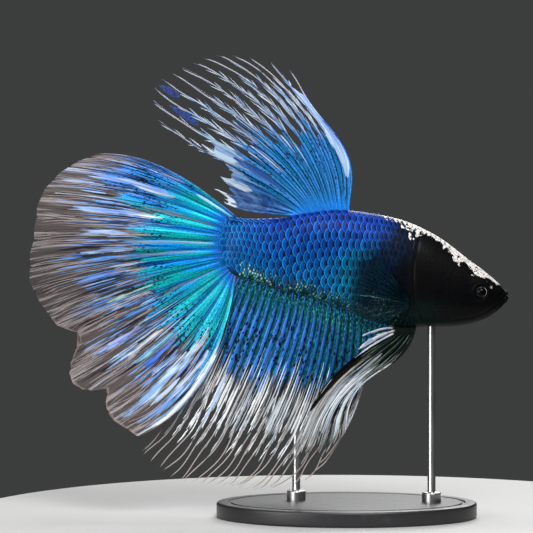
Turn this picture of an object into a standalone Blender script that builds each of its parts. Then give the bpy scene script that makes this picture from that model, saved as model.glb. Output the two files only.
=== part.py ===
"""A life-size male betta fish with its fins spread, held over a flat base by two short rods.

The row frame has +X towards the head, +Z up, and the fish's right side facing -Y. The origin is
the centre of the base's underside. Sizes are in millimetres here and become metres in `metres`.
"""

import math

import bmesh
import bpy
import numpy as np

MM = 0.001
GAP = 0.3  # between pieces that meet

# Body: x, top, bottom and half width of each cross-section, and how much wider it is above the middle.
BODY = (
    (-24.0, 60.1, 48.4, 1.3, 0.00),
    (-19.0, 59.5, 47.3, 2.3, 0.08),
    (-13.0, 59.7, 45.4, 3.4, 0.18),
    (-7.0, 60.8, 44.0, 4.3, 0.24),
    (-1.0, 61.6, 41.9, 4.9, 0.24),
    (5.0, 61.3, 39.4, 5.4, 0.14),
    (11.0, 59.8, 37.8, 5.7, 0.02),
    (16.0, 57.5, 38.0, 5.6, -0.04),
    (20.0, 54.8, 38.0, 5.2, -0.04),
    (24.0, 51.5, 38.4, 4.5, 0.00),
    (27.5, 48.9, 39.5, 3.6, 0.05),
    (30.2, 46.6, 41.2, 2.5, 0.10),
    (31.6, 45.3, 42.6, 1.4, 0.10),
)
SNOUT = (32.3, 44.1)  # x and z of the tip of the lips
RINGS_PER_STATION = 2
RING_POINTS = 18
FULLNESS = 0.88  # power of the cosine: under 1 makes the flanks fuller than an ellipse

TAIL_CUT = -17.0  # x of the cut between tail stalk and trunk
STALK_END = (-22.2, 1.8, 54.4, 6.2)  # end of the stalk: x, backward bulge, middle z, half height
GILL_EDGE = (15.6, 2.6, 48.0, 11.5)  # rear of the head: x, backward bulge, middle z, half height
JAW = ((34.0, 45.2), (32.2, 44.4), (30.6, 43.1), (28.4, 41.1), (25.6, 39.9), (23.6, 36.0), (34.0, 36.0))
GILL_COVER = (18.6, 45.2, 3.9, 5.7)  # middle x and z, half length, half height
GILL_COVER_THICK = 0.8

EYE = (26.9, 44.9, 1.5)  # x, z and radius of the eyeball
EYE_MIDDLE_Y = 3.15

# Fin fans. Each ray is a root x, a length, and headings in degrees at its root, middle and tip,
# from +X round towards +Z. The rows go from one edge of the fin to the other.
DORSAL = (
    (0.4, 30.4, 89, 113, 142),
    (-1.0, 34.8, 95, 116, 141),
    (-2.0, 36.2, 100, 119, 142),
    (-3.2, 37.9, 105, 124, 146),
    (-4.3, 40.6, 110, 130, 150),
    (-5.5, 41.6, 117, 137, 157),
    (-6.6, 41.4, 125, 139, 154),
    (-7.7, 39.4, 132, 143, 151),
    (-8.7, 35.6, 143, 146, 146),
    (-9.6, 32.4, 150, 150, 147),
    (-10.4, 16.6, 157, 162, 168),
    (-11.0, 10.2, 174, 176, 176),
)
# The tail fin's rows start with a root height, as its roots lie along the end of the stalk.
CAUDAL = (
    (60.4, 30.4, 141, 153, 186),
    (59.2, 34.6, 150, 162, 178),
    (57.4, 37.4, 162, 170, 177),
    (55.2, 37.9, 174, 178, 182),
    (52.9, 39.8, 183, 188, 196),
    (51.2, 37.8, 195, 199, 204),
    (49.9, 39.4, 217, 213, 209),
    (49.0, 38.4, 240, 226, 211),
    (48.3, 38.8, 262, 239, 207),
)
CAUDAL_NOTCHES = ((0.69, 0.13, 0.04), (0.85, 0.10, 0.025))  # share across the fin, depth, half width
ANAL = (
    (-20.2, 38.4, 254, 247, 227),
    (-16.4, 41.9, 254, 248, 232),
    (-11.2, 42.0, 257, 247, 224),
    (-5.8, 41.0, 262, 248, 217),
    (-0.6, 40.0, 266, 250, 212),
    (4.6, 32.2, 271, 252, 219),
)
VENTRAL = (
    (13.6, 27.6, 262, 216, 252),
    (12.9, 29.0, 240, 220, 243),
    (12.2, 32.8, 217, 225, 237),
    (11.6, 22.4, 197, 222, 232),
    (11.0, 9.6, 182, 195, 222),
)
PECTORAL = (
    (11.9, 10.2, 124, 128, 133),
    (11.7, 11.6, 150, 154, 158),
    (11.7, 11.8, 182, 181, 179),
    (11.9, 9.8, 212, 206, 200),
)
PECTORAL_ROOT_Z = 42.7
PECTORAL_ROOT_HALF = 1.0
VENTRAL_ROOT_Y = 1.5

FIN_TIP_THICK = 0.5
FIN_ROOT_THICK = 1.0
THIN = FIN_TIP_THICK / FIN_ROOT_THICK

BASE_HALF = (26.0, 18.0)
BASE_THICK = 3.0
BASE_BEVEL = 0.5
ROD_RADIUS = 0.8
COLLAR = (1.9, 1.6)  # radius and height of the boss round each rod's foot
ROD_PLACES = {"front": (17.0, 0.0), "rear": (-10.0, 3.3)}


def clear_scene():
    for obj in list(bpy.data.objects):
        bpy.data.objects.remove(obj)


def material(name, colour, roughness, metallic=0.0, alpha=1.0):
    made = bpy.data.materials.new(name)
    made.use_nodes = True
    shader = made.node_tree.nodes["Principled BSDF"]
    shader.inputs["Base Color"].default_value = (*colour, 1.0)
    shader.inputs["Roughness"].default_value = roughness
    shader.inputs["Metallic"].default_value = metallic
    shader.inputs["Alpha"].default_value = alpha
    made.diffuse_color = (*colour, alpha)
    return made


def object_from(name, points, faces, finish):
    """An object from points in millimetres, with its normals made to face outwards."""
    mesh = bpy.data.meshes.new(name)
    mesh.from_pydata([tuple(MM * c for c in p) for p in points], [], faces)
    work = bmesh.new()
    work.from_mesh(mesh)
    bmesh.ops.recalc_face_normals(work, faces=work.faces)
    work.to_mesh(mesh)
    work.free()
    mesh.materials.append(finish)
    mesh.shade_smooth()
    mesh.set_sharp_from_angle(angle=math.radians(50))
    made = bpy.data.objects.new(name, mesh)
    bpy.context.scene.collection.objects.link(made)
    return made


def hide_cutter(obj):
    obj.hide_render = True
    obj.display_type = "WIRE"
    return obj


def boolean(obj, cutter, operation):
    step = obj.modifiers.new(operation.title() + " " + cutter.name, "BOOLEAN")
    step.operation = operation
    step.solver = "EXACT"
    step.object = cutter


def smooth_row(rows, place):
    """The row at a place between rows, by a Catmull-Rom curve through them."""
    table = np.array(rows, float)
    place = min(max(place, 0.0), len(table) - 1.0)
    low = min(int(place), len(table) - 2)
    t = place - low
    before, start, end, after = (table[min(max(low + k, 0), len(table) - 1)] for k in (-1, 0, 1, 2))
    lead, trail = (end - before) / 2, (after - start) / 2
    return (
        start * (1 + 2 * t) * (1 - t) ** 2
        + lead * t * (1 - t) ** 2
        + end * t * t * (3 - 2 * t)
        - trail * t * t * (1 - t)
    )


BODY_PROFILE = np.array([smooth_row(BODY, place) for place in np.linspace(0, len(BODY) - 1, 400)])


def body_row(x):
    """Top, bottom and half width of the body at x, and how much wider it is above the middle."""
    return [float(np.interp(x, BODY_PROFILE[:, 0], BODY_PROFILE[:, k])) for k in range(1, 5)]


def body_loft(name, finish, inset=0.0):
    """The whole body as one closed surface, or one that lies inset under its surface."""
    count = (len(BODY) - 1) * RINGS_PER_STATION + 1
    points, faces = [], []
    for k in range(count):
        x, top, bottom, half_width, wider = smooth_row(BODY, k / RINGS_PER_STATION)
        middle, half_height = (top + bottom) / 2, (top - bottom) / 2 - inset
        for n in range(RING_POINTS):
            angle = 2 * math.pi * n / RING_POINTS
            side, up = math.cos(angle), math.sin(angle)
            reach = math.copysign(abs(side) ** FULLNESS, side) * (1 + wider * up)
            points.append((x, reach * max(half_width - inset, 0.2), middle + half_height * up))
    for k in range(count - 1):
        for n in range(RING_POINTS):
            a, b = k * RING_POINTS + n, k * RING_POINTS + (n + 1) % RING_POINTS
            faces.append((a, b, b + RING_POINTS, a + RING_POINTS))
    faces.append(tuple(range(RING_POINTS)))
    tip = len(points)
    points.append((SNOUT[0] - inset, 0.0, SNOUT[1]))
    last = (count - 1) * RING_POINTS
    faces += [(last + n, last + (n + 1) % RING_POINTS, tip) for n in range(RING_POINTS)]
    return object_from(name, points, faces, finish)


def prism(name, outline, y_from, y_to, finish):
    """A cutter: an outline in the XZ plane pushed out from y_from to y_to."""
    n = len(outline)
    points = [(x, y, z) for y in (y_from, y_to) for x, z in outline]
    faces = [tuple(range(n)), tuple(range(2 * n - 1, n - 1, -1))]
    faces += [(k, (k + 1) % n, n + (k + 1) % n, n + k) for k in range(n)]
    return hide_cutter(object_from(name, points, faces, finish))


def bowed_x(edge, z):
    """x at height z on an edge that bows backwards."""
    x, bulge, middle, half = edge
    return x - bulge * (1 - ((z - middle) / half) ** 2)


def bowed_edge(edge, shift):
    """A bowed edge as seen from the side, from below to above the body, moved along x."""
    levels = np.linspace(edge[2] - 1.4 * edge[3], edge[2] + 1.4 * edge[3], 13)
    return [(bowed_x(edge, z) + shift, z) for z in levels]


def oval(middle_x, middle_z, half_x, half_z, count=14):
    """An oval outline that comes to a blunt point at the rear and below, as a gill cover does."""
    turns = [2 * math.pi * k / count for k in range(count)]
    return [
        (middle_x + half_x * math.cos(a) * (1 - 0.18 * math.sin(a)), middle_z + half_z * math.sin(a))
        for a in turns
    ]


def grown(outline, by):
    """An outline moved outwards from its own middle."""
    middle = np.mean(outline, axis=0)
    away = np.array(outline) - middle
    length = np.linalg.norm(away, axis=1, keepdims=True)
    return [tuple(p) for p in middle + away * (length + by) / length]


def build_body(flesh, black):
    """Tail stalk, trunk, head, lower jaw and gill covers, parted from one shape by thin cuts."""
    far = 40.0
    high, low = 75.0, 25.0
    head_side = [*bowed_edge(GILL_EDGE, GAP / 2), (far, high), (far, low)]
    trunk_side = [*bowed_edge(GILL_EDGE, -GAP / 2), (TAIL_CUT + GAP / 2, high), (TAIL_CUT + GAP / 2, low)]
    stalk_side = [*bowed_edge(STALK_END, 0.0), (TAIL_CUT - GAP / 2, high), (TAIL_CUT - GAP / 2, low)]
    keep = {
        "tail_stalk": prism("keep_stalk", stalk_side, -20, 20, flesh),
        "trunk": prism("keep_trunk", trunk_side, -20, 20, flesh),
        "head": prism("keep_head", head_side, -20, 20, black),
        "lower_jaw": prism("keep_jaw", JAW, -20, 20, black),
    }
    for name, cutter in keep.items():
        finish = flesh if name in ("tail_stalk", "trunk") else black
        piece = body_loft(name, finish)
        boolean(piece, cutter, "INTERSECT")
    head = bpy.data.objects["head"]
    boolean(head, prism("part_jaw", grown(JAW, GAP), -20, 20, black), "DIFFERENCE")

    cover_core = hide_cutter(body_loft("cover_core", black, inset=GILL_COVER_THICK))
    seat_core = hide_cutter(body_loft("seat_core", black, inset=GILL_COVER_THICK + GAP))
    outline = oval(*GILL_COVER)
    for side, label in ((-1, "right"), (1, "left")):
        ends = sorted((side * 0.5, side * 20.0))
        seat = prism("gill_seat_" + label, grown(outline, GAP), *ends, black)
        boolean(seat, seat_core, "DIFFERENCE")
        boolean(head, seat, "DIFFERENCE")
        cover = body_loft("gill_cover_" + label, black)
        boolean(cover, prism("gill_outline_" + label, outline, *ends, black), "INTERSECT")
        boolean(cover, cover_core, "DIFFERENCE")


def ball(name, middle, radius, finish, segments=16, rings=8):
    points, faces = [(0, 0, 1)], []
    for k in range(1, rings):
        up = math.pi * k / rings
        for n in range(segments):
            turn = 2 * math.pi * n / segments
            points.append((math.sin(up) * math.cos(turn), math.sin(up) * math.sin(turn), math.cos(up)))
    points.append((0, 0, -1))
    last = len(points) - 1
    for n in range(segments):
        after = (n + 1) % segments
        faces.append((0, 1 + n, 1 + after))
        faces.append((last, last - segments + after, last - segments + n))
        for k in range(rings - 2):
            a, b = 1 + k * segments, 1 + (k + 1) * segments
            faces.append((a + n, b + n, b + after, a + after))
    placed = [tuple(m + radius * c for m, c in zip(middle, p)) for p in points]
    return object_from(name, placed, faces, finish)


def build_eyes(finish, black):
    """Eyeballs in sockets cut from the head."""
    x, z, radius = EYE
    for side, label in ((-1, "right"), (1, "left")):
        middle = (x, side * EYE_MIDDLE_Y, z)
        ball("eye_" + label, middle, radius, finish)
        socket = hide_cutter(ball("socket_" + label, middle, radius + GAP, black))
        boolean(bpy.data.objects["head"], socket, "DIFFERENCE")


def ray_path(row, root_z, steps):
    """Points of one ray as (x, z), from its root to its tip, by following its heading."""
    x, length, at_root, at_middle, at_tip = row
    t = (np.arange(steps) + 0.5) / steps
    heading = np.radians(
        at_root * (1 - t) * (1 - 2 * t) + at_middle * 4 * t * (1 - t) - at_tip * t * (1 - 2 * t)
    )
    run = np.cumsum(np.stack([np.cos(heading), np.sin(heading)], 1) * length / steps, axis=0)
    return np.vstack([[x, root_z], run + (x, root_z)])


def fin_sheet(name, fan, root_z, fold, rays, rows, web_rows, finger, finish):
    """A fin as one thin closed plate: `rays` fingers, webbed together up to web_rows(share).

    share runs across the fan and t along a ray, both from 0 to 1. root_z(row, share) gives the
    height of a ray's root, fold(share, t) how far the sheet stands out of the XZ plane, and
    finger(t) a ray's half width as a share of the ray spacing.
    """
    points, faces = [], []
    t = np.linspace(0, 1, rows + 1)
    edges = []
    for k in range(rays):
        sides = []
        for side in (-1, 1):
            sides.append(len(points))
            shares = np.clip((k + side * finger(t)) / (rays - 1), 0, 1)
            for j in range(rows + 1):
                row = smooth_row(fan, shares[j] * (len(fan) - 1))
                x, z = ray_path(row[:5], root_z(row, shares[j]), rows)[j]
                points.append((x, fold(shares[j], t[j]), z))
        edges.append(sides)
    for k, (left, right) in enumerate(edges):
        for j in range(rows):
            faces.append((left + j, right + j, right + j + 1, left + j + 1))
        if k + 1 == rays:
            continue
        after = edges[k + 1][0]
        for j in range(web_rows((k + 0.5) / (rays - 1))):
            faces.append((right + j, after + j, after + j + 1, right + j + 1))
    sheet = object_from(name, points, faces, finish)
    thickness = sheet.vertex_groups.new(name="thickness")
    for index in range(len(points)):
        to_root = 1 - t[index % (rows + 1)]
        thickness.add([index], THIN + (1 - THIN) * to_root**3, "ADD")
    shell = sheet.modifiers.new("Thickness", "SOLIDIFY")
    shell.thickness = FIN_ROOT_THICK * MM
    shell.offset = 0.0
    shell.vertex_group = thickness.name
    return sheet


def body_top(row, share):
    return body_row(row[0])[0] + GAP


def body_bottom(row, share):
    return body_row(row[0])[1] - GAP


def dorsal_fold(share, t):
    return t * (1.1 * math.sin(7.0 * share + 2.2 * t) + 0.9 * share)


def anal_fold(share, t):
    return t * (1.2 * math.sin(9.0 * share + 1.8 * t) + 0.9 * (1 - share) * (1 - t))


def caudal_fold(share, t):
    return -0.6 * t + t * (1.0 + 1.4 * t) * math.sin(10.5 * share + 1.5 * t - 0.6)


def notched(share, length):
    """A tail ray's length, shortened where the margin is notched."""
    depth = sum(d * math.exp(-(((share - at) / width) ** 2)) for at, d, width in CAUDAL_NOTCHES)
    return length * (1 - depth)


def caudal_fan(steps=24):
    """The tail fin's guide rays as rows of root x, length, three headings and root z."""
    fan = []
    for k in range(steps + 1):
        z, length, *headings = smooth_row(CAUDAL, k / steps * (len(CAUDAL) - 1))
        fan.append((bowed_x(STALK_END, z) - GAP, notched(k / steps, length), *headings, z))
    return fan


def build_median_fins(blue):
    """Dorsal, anal and tail fins, in the fish's middle plane."""
    fin_sheet(
        "dorsal_fin", DORSAL, body_top, dorsal_fold, 14, 11,
        lambda share: 5 if share < 0.83 else 9, lambda t: 0.25 + 0.1 * t - 0.2 * t**6, blue,
    )
    fin_sheet(
        "anal_fin", ANAL, body_bottom, anal_fold, 16, 11,
        lambda share: 8, lambda t: 0.25 - 0.12 * t**8, blue,
    )
    fin_sheet(
        "tail_fin", caudal_fan(), lambda row, share: row[5], caudal_fold, 20, 10,
        lambda share: 9, lambda t: 0.27 - 0.1 * t**8, blue,
    )


def build_paired_fins(clear, white):
    """Pectoral fins behind the gill covers, and long ventral fins under the throat."""
    for side, label in ((-1, "right"), (1, "left")):
        root_y = body_row(PECTORAL[0][0])[2] * 0.93 + 0.8

        def pectoral_fold(share, t):
            return side * (root_y + 2.4 * t - 0.5 * t * t + 0.25 * math.sin(9 * share) * t)

        def ventral_fold(share, t):
            return side * (VENTRAL_ROOT_Y + 2.6 * t - 1.2 * t * t + 0.35 * math.sin(7 * share) * t)

        fin_sheet(
            "pectoral_fin_" + label, PECTORAL,
            lambda row, share: PECTORAL_ROOT_Z + PECTORAL_ROOT_HALF * (1 - 2 * share),
            pectoral_fold, 8, 5, lambda share: 5, lambda t: 0.3 + 0 * t, clear,
        )
        shorter = 1.0 if side < 0 else 0.9
        fan = [(x, length * shorter, *angles) for x, length, *angles in VENTRAL]
        fin_sheet(
            "ventral_fin_" + label, fan,
            lambda row, share: body_row(row[0])[1] - GAP + 0.2,
            ventral_fold, 7, 8, lambda share: 6, lambda t: 0.3 - 0.12 * t**6, white,
        )


def turned(name, profile, place, finish, segments=14):
    """A solid of revolution about a vertical axis, from (radius, z) points, bottom to top."""
    points, faces = [], []
    for radius, z in profile:
        for n in range(segments):
            a = 2 * math.pi * n / segments
            points.append((place[0] + radius * math.cos(a), place[1] + radius * math.sin(a), z))
    for k in range(len(profile) - 1):
        for n in range(segments):
            a, b = k * segments + n, k * segments + (n + 1) % segments
            faces.append((a, b, b + segments, a + segments))
    last = (len(profile) - 1) * segments
    faces += [tuple(range(segments)), tuple(last + n for n in range(segments))]
    return object_from(name, points, faces, finish)


def build_stand(black, steel):
    """An oval base and two rods, each with a boss at its foot."""
    count = 40
    points, faces = [], []
    for shrink, z in (
        (BASE_BEVEL, 0.0), (0.0, BASE_BEVEL), (0.0, BASE_THICK - BASE_BEVEL), (BASE_BEVEL, BASE_THICK),
    ):
        for n in range(count):
            a = 2 * math.pi * n / count
            points.append(((BASE_HALF[0] - shrink) * math.cos(a), (BASE_HALF[1] - shrink) * math.sin(a), z))
    for k in range(3):
        for n in range(count):
            a, b = k * count + n, k * count + (n + 1) % count
            faces.append((a, b, b + count, a + count))
    faces += [tuple(range(count)), tuple(3 * count + n for n in range(count))]
    object_from("stand_base", points, faces, black)
    for label, (x, y) in ROD_PLACES.items():
        foot = BASE_THICK + GAP
        top = rod_top(x, y)
        profile = (
            (COLLAR[0], foot), (COLLAR[0], foot + COLLAR[1] - 0.4), (COLLAR[0] - 0.4, foot + COLLAR[1]),
            (ROD_RADIUS, foot + COLLAR[1]), (ROD_RADIUS, top),
        )
        turned("stand_rod_" + label, profile, (x, y), steel)


def rod_top(x, y):
    """The height at which a rod of ROD_RADIUS at (x, y) stops short of the body's underside."""
    lowest = 1e9
    for dx in (-ROD_RADIUS, 0.0, ROD_RADIUS):
        top, bottom, half_width, wider = body_row(x + dx)
        inner = max(abs(y) - ROD_RADIUS, 0.0)
        angle = np.radians(np.linspace(-90, 0, 91))
        reach = np.cos(angle) ** FULLNESS * (1 + wider * np.sin(angle)) * half_width
        level = (top + bottom) / 2 + (top - bottom) / 2 * np.sin(angle)
        lowest = min(lowest, float(np.interp(inner, reach, level)))
    return lowest - GAP


def main():
    clear_scene()
    blue = material("blue_scales", (0.02, 0.09, 0.55), 0.35, 0.3)
    black = material("black_head", (0.012, 0.012, 0.014), 0.4)
    fin_blue = material("fin_blue", (0.05, 0.30, 0.75), 0.4, 0.2)
    fin_white = material("fin_white", (0.75, 0.80, 0.85), 0.4)
    fin_clear = material("fin_clear", (0.10, 0.16, 0.20), 0.35, alpha=0.6)
    eye = material("eye", (0.01, 0.01, 0.01), 0.1)
    stand_black = material("stand_black", (0.02, 0.02, 0.02), 0.35)
    steel = material("rod_steel", (0.6, 0.6, 0.6), 0.3, 1.0)
    build_body(blue, black)
    build_eyes(eye, black)
    build_median_fins(fin_blue)
    build_paired_fins(fin_clear, fin_white)
    build_stand(stand_black, steel)


main()
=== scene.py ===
import math

import bmesh
import bpy
import numpy as np
from mathutils import Matrix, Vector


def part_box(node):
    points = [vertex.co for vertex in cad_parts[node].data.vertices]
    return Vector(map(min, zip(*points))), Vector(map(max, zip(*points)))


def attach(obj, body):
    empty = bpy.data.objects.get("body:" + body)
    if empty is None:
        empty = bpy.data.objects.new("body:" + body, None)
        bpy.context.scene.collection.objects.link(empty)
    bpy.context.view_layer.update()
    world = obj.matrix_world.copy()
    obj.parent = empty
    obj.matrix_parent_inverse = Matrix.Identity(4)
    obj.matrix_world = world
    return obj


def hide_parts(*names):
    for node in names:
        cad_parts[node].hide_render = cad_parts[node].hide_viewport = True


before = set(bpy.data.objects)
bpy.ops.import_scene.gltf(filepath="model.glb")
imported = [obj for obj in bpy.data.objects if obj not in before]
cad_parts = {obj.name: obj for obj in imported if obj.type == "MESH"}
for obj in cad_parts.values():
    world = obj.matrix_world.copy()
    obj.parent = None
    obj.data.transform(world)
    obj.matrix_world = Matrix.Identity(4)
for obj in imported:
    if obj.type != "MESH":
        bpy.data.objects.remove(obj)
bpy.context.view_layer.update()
mm = 0.001
chance = np.random.default_rng(11)
print("frame loaded:", len(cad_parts), "nodes")


# small helpers for node trees, which all work on the tree begun last

current = {"tree": None}


class Wire:
    # a node's output, which can be added, multiplied and so on
    def __init__(self, socket):
        self.socket = socket

    def __add__(self, other):
        return calc("ADD", self, other)

    def __sub__(self, other):
        return calc("SUBTRACT", self, other)

    def __rsub__(self, other):
        return calc("SUBTRACT", other, self)

    def __mul__(self, other):
        return calc("MULTIPLY", self, other)

    def __truediv__(self, other):
        return calc("DIVIDE", self, other)

    def __pow__(self, other):
        return calc("POWER", self, other)

    def __abs__(self):
        return calc("ABSOLUTE", self)


class Outputs:
    # a node's outputs by name or number
    def __init__(self, node):
        self.node = node

    def __getitem__(self, key):
        return Wire(self.node.outputs[key])


def feed(value, socket):
    # a wire is linked, anything else becomes the socket's value
    if isinstance(value, Wire):
        current["tree"].links.new(value.socket, socket)
    elif isinstance(value, tuple) and socket.type == "RGBA":
        socket.default_value = (*value[:3], 1.0)
    else:
        socket.default_value = value


def addNode(kind, values=(), **settings):
    made = current["tree"].nodes.new(kind)
    for key, setting in settings.items():
        setattr(made, key, setting)
    for key, value in dict(values).items():
        feed(value, made.inputs[key])
    return Outputs(made)


def calc(operation, *values, clamp=False):
    return addNode("ShaderNodeMath", enumerate(values), operation=operation, use_clamp=clamp)[0]


def ramp(value, low, high, start=0.0, end=1.0):
    # a smooth step from low to high
    values = (value, low, high, start, end)
    return addNode("ShaderNodeMapRange", enumerate(values), interpolation_type="SMOOTHSTEP")[0]


def mix(factor, first, second, mode="MIX"):
    values = {0: factor, 6: first, 7: second}
    return addNode("ShaderNodeMix", values, data_type="RGBA", blend_type=mode)[2]


def tinted(first, second):
    return mix(1.0, first, second, "MULTIPLY")


def vector(x, y, z=0.0):
    return addNode("ShaderNodeCombineXYZ", {0: x, 1: y, 2: z})[0]


def split(value):
    made = addNode("ShaderNodeSeparateXYZ", {0: value})
    return made[0], made[1], made[2]


def noise(where, scale=1.0, detail=2.0, rough=0.5):
    values = {"Vector": where, "Scale": scale, "Detail": detail, "Roughness": rough}
    return addNode("ShaderNodeTexNoise", values)["Fac"]


def streaks(ray, reach, perRay, perLength, seed, detail=2.0):
    # noise drawn out along the rays
    return noise(vector(ray * perRay, reach * perLength, seed), 1.0, detail)


def fromMiddle(x, y):
    return calc("SQRT", x * x + y * y)


def hump(run):
    # 0 at both ends of the run and 1 in its middle
    return calc("MAXIMUM", run * (1.0 - run) * 4.0, 0.0)


def readAttribute(name, output="Vector"):
    return addNode("ShaderNodeAttribute", attribute_name=name)[output]


def objectPlace():
    return addNode("ShaderNodeTexCoord")["Object"]


def newTree(name, kind, inputs, outputs):
    tree = bpy.data.node_groups.new(name, kind)
    current["tree"] = tree
    for way, sockets in (("INPUT", inputs), ("OUTPUT", outputs)):
        for label, value in sockets.items():
            colour = isinstance(value, tuple)
            socketKind = "Color" if colour else value if isinstance(value, str) else "Float"
            socket = tree.interface.new_socket(label, in_out=way, socket_type="NodeSocket" + socketKind)
            if colour:
                socket.default_value = (*value, 1.0)
            elif not isinstance(value, str):
                socket.default_value = value
    return tree, Outputs(tree.nodes.new("NodeGroupInput")), tree.nodes.new("NodeGroupOutput").inputs


def newGroup(name, inputs, *outputs):
    kinds = {label: "Color" if label == "Colour" else "Float" for label in outputs}
    return newTree(name, "ShaderNodeTree", inputs, kinds)


def placeGroup(group, values):
    return addNode("ShaderNodeGroup", values, node_tree=group)


def newMaterial(name, **fixed):
    # fixed numbers go on the shader's own sockets
    material = bpy.data.materials.new(name)
    material.use_nodes = True
    current["tree"] = material.node_tree
    shader = material.node_tree.nodes["Principled BSDF"].inputs
    for key, value in fixed.items():
        shader[key.replace("_", " ")].default_value = value
    return material, shader


def bumpOn(shader, height, strength, distance):
    bumped = addNode("ShaderNodeBump", {"Strength": strength, "Distance": distance, "Height": height})
    feed(bumped[0], shader["Normal"])


# small helpers for shapes

def smoothRows(rows, places):
    # Catmull-Rom through the rows, at places from 0 to 1
    table = np.array(rows, float)
    at = np.clip(np.atleast_1d(places), 0, 1) * (len(table) - 1)
    low = np.minimum(at.astype(int), len(table) - 2)
    t = (at - low)[:, None]
    before, start, end, after = (table[np.clip(low + k, 0, len(table) - 1)] for k in (-1, 0, 1, 2))
    lead, trail = (end - before) / 2, (after - start) / 2
    return (start * (1 + 2 * t) * (1 - t) ** 2 + lead * t * (1 - t) ** 2
            + end * t * t * (3 - 2 * t) - trail * t * t * (1 - t))


def smoothStep(value, low, high):
    t = np.clip((np.asarray(value, float) - low) / (high - low), 0, 1)
    return t * t * (3 - 2 * t)


def bell(value, width):
    return np.exp(-(np.asarray(value, float) / width) ** 2)


def meshObject(name, points, faces=(), material=None, edges=()):
    # points in millimetres
    mesh = bpy.data.meshes.new(name)
    mesh.from_pydata((np.asarray(points, float) * mm).tolist(), edges, [tuple(f) for f in faces])
    mesh.shade_smooth()
    if material:
        mesh.materials.append(material)
    made = bpy.data.objects.new(name, mesh)
    bpy.context.scene.collection.objects.link(made)
    return made


def faceOutwards(obj):
    work = bmesh.new()
    work.from_mesh(obj.data)
    bmesh.ops.recalc_face_normals(work, faces=work.faces)
    work.to_mesh(obj.data)
    work.free()


def smoothUpTo(obj, degrees):
    obj.data.shade_smooth()
    obj.data.set_sharp_from_angle(angle=math.radians(degrees))


def store(obj, **named):
    # named values of each point, numbers or vectors
    for name, values in named.items():
        values = np.asarray(values, np.float32)
        kind, field = ("FLOAT", "value") if values.ndim == 1 else ("FLOAT_VECTOR", "vector")
        obj.data.attributes.new(name, kind, "POINT").data.foreach_set(field, values.ravel())


def storeBakeMap(obj, perPoint):
    # a UV map that gives each corner its point's place
    layer = obj.data.uv_layers.new(name="OFBake")
    corners = np.zeros(len(obj.data.loops), np.int32)
    obj.data.loops.foreach_get("vertex_index", corners)
    layer.data.foreach_set("uv", np.asarray(perPoint, np.float32)[corners].ravel())
    return layer


def gridFaces(rows, columns, closed=False):
    faces = []
    for j in range(rows - 1):
        for i in range(columns if closed else columns - 1):
            a, b = j * columns + i, j * columns + (i + 1) % columns
            faces.append((a, b, b + columns, a + columns))
    return faces


def fans(rings, sides, low, high):
    # faces that close both ends of a tube of rings, round the points low and high
    last = (rings - 1) * sides
    faces = [((i + 1) % sides, i, low) for i in range(sides)]
    return faces + [(last + i, last + (i + 1) % sides, high) for i in range(sides)]


def edgeStrip(columns, rows, under):
    # faces between the edge of a grid and the edge of the same grid under it
    edge = list(range(columns)) + [j * columns + columns - 1 for j in range(1, rows)]
    edge += [(rows - 1) * columns + i for i in range(columns - 2, -1, -1)]
    edge += [j * columns for j in range(rows - 2, 0, -1)]
    return edge, [(edge[k], edge[k - 1], under + edge[k - 1], under + edge[k]) for k in range(len(edge))]


def keepPiece(obj, slot, *nodes):
    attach(obj, "root")
    if nodes:
        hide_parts(*nodes)


# Geometry Nodes set-up

def geometryTree(name, inputs):
    geometry = {"Geometry": "Geometry"}
    tree, given, out = newTree(name, "GeometryNodeTree", {**geometry, **inputs}, geometry)
    tree.is_modifier = True
    return tree, given, out


def namedValue(name, kind="FLOAT"):
    return addNode("GeometryNodeInputNamedAttribute", {"Name": name}, data_type=kind)[0]


def namedVector(name):
    return namedValue(name, "FLOAT_VECTOR")


def vectorMath(operation, first, second):
    values = {0: first, "Scale" if operation == "SCALE" else 1: second}
    return addNode("ShaderNodeVectorMath", values, operation=operation)[0]


def copyOnPoints(given, size):
    turn = addNode("FunctionNodeEulerToRotation", {0: namedVector("turn")})
    copies = addNode("GeometryNodeInstanceOnPoints", {
        "Points": given["Geometry"], "Rotation": turn[0], "Scale": namedVector(size),
        "Instance": addNode("GeometryNodeObjectInfo", {"Object": given["Shape"]})["Geometry"]})
    return addNode("GeometryNodeRealizeInstances", {"Geometry": copies[0]})[0]


def storeIn(geometry, name, value, kind, domain):
    values = {"Geometry": geometry, "Name": name, "Value": value}
    return addNode("GeometryNodeStoreNamedAttribute", values, data_type=kind, domain=domain)[0]


def bakeMap(geometry, place):
    return storeIn(geometry, "OFBake", place, "FLOAT2", "CORNER")


def dress(geometry, given, out):
    dressed = addNode("GeometryNodeSetMaterial", {"Geometry": geometry, "Material": given["Finish"]})
    feed(dressed[0], out["Geometry"])


def applyTree(obj, tree, values):
    # runs the tree on the object and keeps its result as a plain mesh
    modifier = obj.modifiers.new(tree.name, "NODES")
    modifier.node_group = tree
    for item in tree.interface.items_tree:
        if item.in_out == "INPUT" and item.name in values:
            modifier[item.identifier] = values[item.name]
    graph = bpy.context.evaluated_depsgraph_get()
    graph.update()
    result = bpy.data.meshes.new_from_object(
        obj.evaluated_get(graph), preserve_all_data_layers=True, depsgraph=graph)
    obj.modifiers.clear()
    obj.data = result
    result.name = obj.name


# the body's shape

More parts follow.
